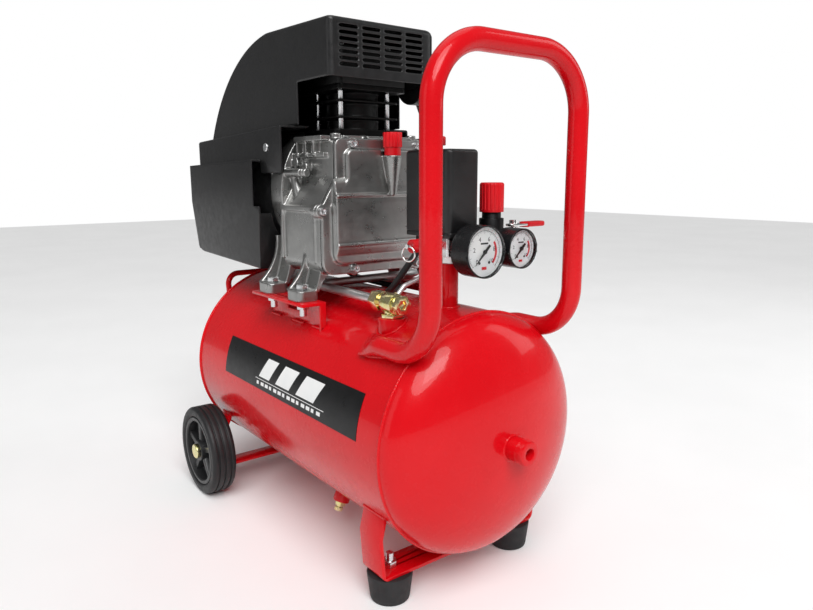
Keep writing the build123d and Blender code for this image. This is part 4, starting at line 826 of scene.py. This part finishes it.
def dial_point(centre, share, radius):
    """A place on the dial at that share of the scale, zero at lower left."""
    turn = GAUGE_START - GAUGE_SWEEP * share
    return centre + Vector((radius * cos(turn), 0, radius * sin(turn)))


def printed_arc(bm, centre, start, end, inner, outer):
    """A printed band between two shares of the scale and two radii."""
    steps = max(1, int(abs(end - start) * 60))
    for k in range(steps):
        a, b = start + (end - start) * k / steps, start + (end - start) * (k + 1) / steps
        outline = [dial_point(centre, a, inner), dial_point(centre, b, inner),
                   dial_point(centre, b, outer), dial_point(centre, a, outer)]
        prism(bm, outline, (0, -1, 0), PRINT_T)


def dial_prints():
    """Marks and numbers in black and an outer scale and a sector in red, on both dials."""
    low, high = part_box("gauge_dials")
    centre_z = (low.z + high.z) / 2
    tank_dial_r = (high.z - low.z) / 2
    black, red = bmesh.new(), bmesh.new()
    for x, radius in ((low.x + tank_dial_r, tank_dial_r), (high.x - OUTLET_DIAL_R, OUTLET_DIAL_R)):
        centre = Vector((x, low.y, centre_z))

        def spot(across_share, up_share, proud=0):
            return centre + Vector((across_share * radius, -proud, up_share * radius))

        for k in range(MARKS + 1):
            half, inner = (0.0011, 0.72) if k % 5 == 0 else (0.0006, 0.78)
            share = k / MARKS
            printed_arc(black, centre, share - half, share + half, radius * inner, radius * 0.84)
        printed_arc(black, centre, 0, 1, radius * 0.84, radius * 0.855)
        printed_arc(red, centre, 0.70, 1, radius * 0.60, radius * 0.70)
        for k in range(21):
            printed_arc(red, centre, k / 20 - 0.0012, k / 20 + 0.0012, radius * 0.88, radius * 0.94)
        for screw in (-0.27, 0.27):
            rod(black, spot(screw, -0.44), spot(screw, -0.44, 0.5 * MM), 0.055 * radius)
        block(red, spot(-0.13, -0.72, PRINT_T), spot(0.13, -0.60))
        block(black, spot(-0.2, 0.30, PRINT_T), spot(0.2, 0.37))
        for k, number in enumerate(GAUGE_NUMBERS):
            place = dial_point(centre, k / (len(GAUGE_NUMBERS) - 1), radius * 0.55)
            number_on_dial(black, str(number), place, radius * 0.20)
    add_piece(black, "dial_marks_black", "needle_black")
    add_piece(red, "dial_marks_red", "red_plastic")


def number_on_dial(bm, text, place, size):
    """Adds one raised number, standing upright and centred on its place."""
    curve = bpy.data.curves.new("number", "FONT")
    curve.body, curve.size = text, size * 1.3
    curve.align_x, curve.align_y = "CENTER", "CENTER"
    curve.extrude, curve.resolution_u = PRINT_T / 2, 3
    thing = bpy.data.objects.new("number", curve)
    scene.collection.objects.link(thing)
    bpy.context.view_layer.update()
    mesh = bpy.data.meshes.new_from_object(thing.evaluated_get(bpy.context.evaluated_depsgraph_get()))
    mesh.transform(Matrix.Translation(place + Vector((0, -PRINT_T / 2, 0))) @ Matrix.Rotation(pi / 2, 4, "X"))
    bm.from_mesh(mesh)
    bpy.data.objects.remove(thing)
    bpy.data.curves.remove(curve)
    bpy.data.meshes.remove(mesh)


dial_prints()

# ---------------------------------------------------------------- castings
# Heights and places of their ribs and bosses follow the crankcase's own steps and bolt rows.
case_low, case_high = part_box("crankcase")
WALL_LOW, WALL_HIGH = 84 * MM, 66 * MM      # half widths of the case below and above its step
SUNK = 3 * MM      # how deep an added rib starts inside its wall


def case_side(bm, side):
    """Ribs, panel frames and bosses down one side of the crankcase."""
    front, back = case_low.y, 34 * MM

    def bar(wall, y0, y1, z0, z1, proud):
        x0, x1 = sorted((side * (wall - SUNK), side * (wall + proud)))
        block(bm, (x0, y0, z0), (x1, y1, z1))

    def boss(start, end, *radii):
        (x0, y0, z0), (x1, y1, z1) = start, end
        rod(bm, (side * x0, y0, z0), (side * x1, y1, z1), *radii)

    bar(WALL_LOW, back - 5 * MM, back, 332 * MM, 394 * MM, 3.0 * MM)
    bar(WALL_LOW, front + 9 * MM, back, 388 * MM, 393 * MM, 3.0 * MM)
    bar(WALL_LOW, front + 9 * MM, front + 13 * MM, 332 * MM, 392 * MM, 1.6 * MM)
    bar(WALL_HIGH, front + 9 * MM, back + 8 * MM, 447 * MM, 451 * MM, 6.0 * MM)
    bar(WALL_HIGH, front + 9 * MM, back - 16 * MM, 464 * MM, 469.6 * MM, 9.0 * MM)
    for y in (-26, -8, 12):
        bar(WALL_HIGH, y * MM, (y + 4) * MM, 449 * MM, 469 * MM, 8.0 * MM)
    boss((62 * MM, 20 * MM, 441 * MM), (73 * MM, 20 * MM, 441 * MM), 6 * MM)
    boss((62 * MM, -4 * MM, 437 * MM), (74 * MM, -4 * MM, 437 * MM), 4.4 * MM)
    rib_z = 430 * MM
    boss((80 * MM, case_high.y - 3.2 * MM, rib_z), (75 * MM, -12 * MM, rib_z), 4.8 * MM)
    boss((80 * MM, case_high.y - 5 * MM, rib_z), (80 * MM, case_high.y - 0.2 * MM, rib_z), 6.4 * MM)
    boss((72 * MM, 8 * MM, 394 * MM), (72 * MM, 24 * MM, 432 * MM), 9 * MM, 5 * MM)


def deck_bosses(bm):
    """Four bosses at the corners of the cylinder deck and two small ones at its front."""
    for x in (-52, 52):
        for y in (-36, 46):
            rod(bm, (x * MM, y * MM, 455 * MM), (x * MM, y * MM, 472.4 * MM), 6 * MM)
    for x in (-18, 18):
        rod(bm, (x * MM, -44 * MM, 462 * MM), (x * MM, -38 * MM, 468 * MM), 5 * MM)


def cover_ribs(bm):
    """Two level ribs across the front of the crankcase cover."""
    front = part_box("crankcase_cover")[0].y
    block(bm, (-71 * MM, front + 13.2 * MM, 404 * MM), (71 * MM, front + 20 * MM, 406.4 * MM))
    block(bm, (-70 * MM, front + 13.6 * MM, 351 * MM), (70 * MM, front + 20 * MM, 353 * MM))


casting("crankcase", [lambda bm: case_side(bm, -1), lambda bm: case_side(bm, 1), deck_bosses], 1.0 * MM, 4)
casting("crankcase_cover", [cover_ribs], 0.8 * MM, 12)
casting("cylinder", [], 0.9 * MM, 2)

# ---------------------------------------------------------------- shroud
shroud_low, shroud_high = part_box("shroud")
LEFT_CORNER, RIGHT_CORNER = 7 * MM, 14 * MM      # its front corners seen from above
CROWN_Y, CROWN_R = 84 * MM, 223 * MM      # where its back starts to fall, and its radius
CROWN_RISE, CROWN_RUN = 4, 144      # the slope of its top in front of that
chord = Vector((0, shroud_high.y - CROWN_Y, shroud_low.z - shroud_high.z))
crown_middle = Vector((0, CROWN_Y, shroud_high.z)) + chord / 2
crown_arm = Vector((0, chord.z, -chord.y)).normalized() * sqrt(CROWN_R ** 2 - chord.length_squared / 4)
CROWN_CENTRE = crown_middle + crown_arm


def shroud_shape(point):
    """Rounds the shroud's top edges: about 4 mm on its left side, growing to 8 mm on its right.

    wall and fall are how far a point lies inside the walls and under the top.
    """
    side, corner = (1, RIGHT_CORNER) if point.x > 0 else (-1, LEFT_CORNER)
    centre = Vector((side * (shroud_high.x - corner), shroud_low.y + corner, point.z))
    if side * (point.x - centre.x) > 0 and point.y < centre.y:
        out = (point - centre).normalized()
        wall = corner - (point - centre).length
    elif shroud_high.x - abs(point.x) < point.y - shroud_low.y:
        out, wall = Vector((side, 0, 0)), shroud_high.x - abs(point.x)
    else:
        out, wall = Vector((0, -1, 0)), point.y - shroud_low.y
    if point.y < CROWN_Y:
        up = Vector((0, 0, 1))
        fall = shroud_high.z - (CROWN_Y - point.y) * CROWN_RISE / CROWN_RUN - point.z
    else:
        arm = Vector((0, point.y, point.z)) - CROWN_CENTRE
        up, fall = arm.normalized(), CROWN_R - arm.length
    radius = (4 + 4 * (point.x / shroud_high.x + 1) / 2) * MM
    a, b = radius - wall, radius - fall
    if a > 0 and b > 0 and hypot(a, b) > radius:
        keep = radius / hypot(a, b)
        return point + out * (a * keep - a) + up * (b * keep - b)
    return point


casting("shroud", [], 1.3 * MM, 2, shroud_shape)

# ---------------------------------------------------------------- bevelled CAD pieces
COVER_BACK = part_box("fan_cover")[1].y


def on_cover_outline(middle, along):
    """The edges along the fan cover's sides, but not the upright ones or those of its narrow ledge."""
    narrow_ledge = middle.y > COVER_BACK - 22 * MM and 430 * MM < middle.z < 446 * MM
    return abs(middle.x) > 80 * MM and middle.y > 84 * MM and not narrow_ledge and abs(along.z) < 0.5


rounded("fan_cover", 0.5 * MM, first=(2.8 * MM, 4, on_cover_outline))
BEVELS = {      # widths in millimetres
    "pump_saddles": 0.8, "front_foot_bracket": 0.8, "axle_bracket": 0.8, "rubber_feet": 1.4,
    "wheel_tyre_left": 0.7, "wheel_tyre_right": 0.7,
    "axle_bolts": 0.5, "hex_nuts": 0.45, "mount_bolts": 0.4, "drain_valve_body": 0.35, "drain_screw": 0.3,
    "check_valve": 0.6, "discharge_nuts": 0.5, "switch_manifold": 0.6, "pressure_switch_base": 0.6,
    "pressure_switch_cover": 0.5, "switch_knob": 0.6, "safety_valve_body": 0.5, "regulator_body": 0.6,
    "regulator_knob": 0.2, "outlet_valve_body": 0.5, "outlet_valve_lever": 0.5, "lever_grip": 1.6,
    "gauge_cases": 0.3, "cylinder_head": 0.6, "motor_end_cap": 0.6, "fan": 0.4, "intake_filter": 0.6,
    "housing_screws": 0.35, "oil_filler_plug": 0.4, "tank_bungs": 0.8, "stator": 0.3, "cylinder_studs": 0.2,
}
for node, width in BEVELS.items():
    rounded(node, width * MM)


def wheel_rim(word, side):
    """A moulded rim: a drum, a web and a hub in one turned piece, with five round-edged spokes a side."""
    node = "wheel_rim_" + word
    low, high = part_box(node)
    centre = (low + high) / 2
    radius, half = (high.z - low.z) / 2, (high.x - low.x) / 2
    hub, bore, web_half = 14 * MM, 6.1 * MM, 1 * MM
    profile = [(half, bore), (half, hub - 1 * MM), (half - 1 * MM, hub), (3 * MM, hub + 0.8 * MM),
               (web_half, hub + 3 * MM), (web_half, radius - 9 * MM), (2.6 * MM, radius - 7 * MM),
               (half - 1.4 * MM, radius - 5.6 * MM), (half, radius - 4.2 * MM), (half, radius - 0.8 * MM),
               (half - 0.8 * MM, radius)]
    back = [(-distance, reach) for distance, reach in reversed(profile)]
    bm = bmesh.new()
    turned(bm, centre, (side, 0, 0), profile + back + profile[:1], 72)
    bmesh.ops.remove_doubles(bm, verts=bm.verts, dist=1e-7)
    section = ((-4.6, 0.6), (-4.2, 9.4), (-3.8, 10.5), (-2.8, 11),      # across and out, in millimetres
               (2.8, 11), (3.8, 10.5), (4.2, 9.4), (4.6, 0.6))
    for k in range(5):
        turn = radians(90 + 72 * k)
        radial, tangent = Vector((0, cos(turn), sin(turn))), Vector((0, -sin(turn), cos(turn)))
        for face in (-1, 1):
            outline = [centre + radial * (hub - 1 * MM) + tangent * a * MM + Vector((face * b * MM, 0, 0))
                       for a, b in section]
            prism(bm, outline, radial, radius - hub - 4.8 * MM)
    add_piece(bm, node + "_finished", SLOT_OF[node], BODY_OF[node], [node], 32)


wheel_rim("left", -1)
wheel_rim("right", 1)

# CAD nodes that no piece stands for are shown as they are, in their own finish
for node, cad_node in NODES.items():
    cad_node.data.materials.clear()
    cad_node.data.materials.append(FINISHES[SLOT_OF[node]])
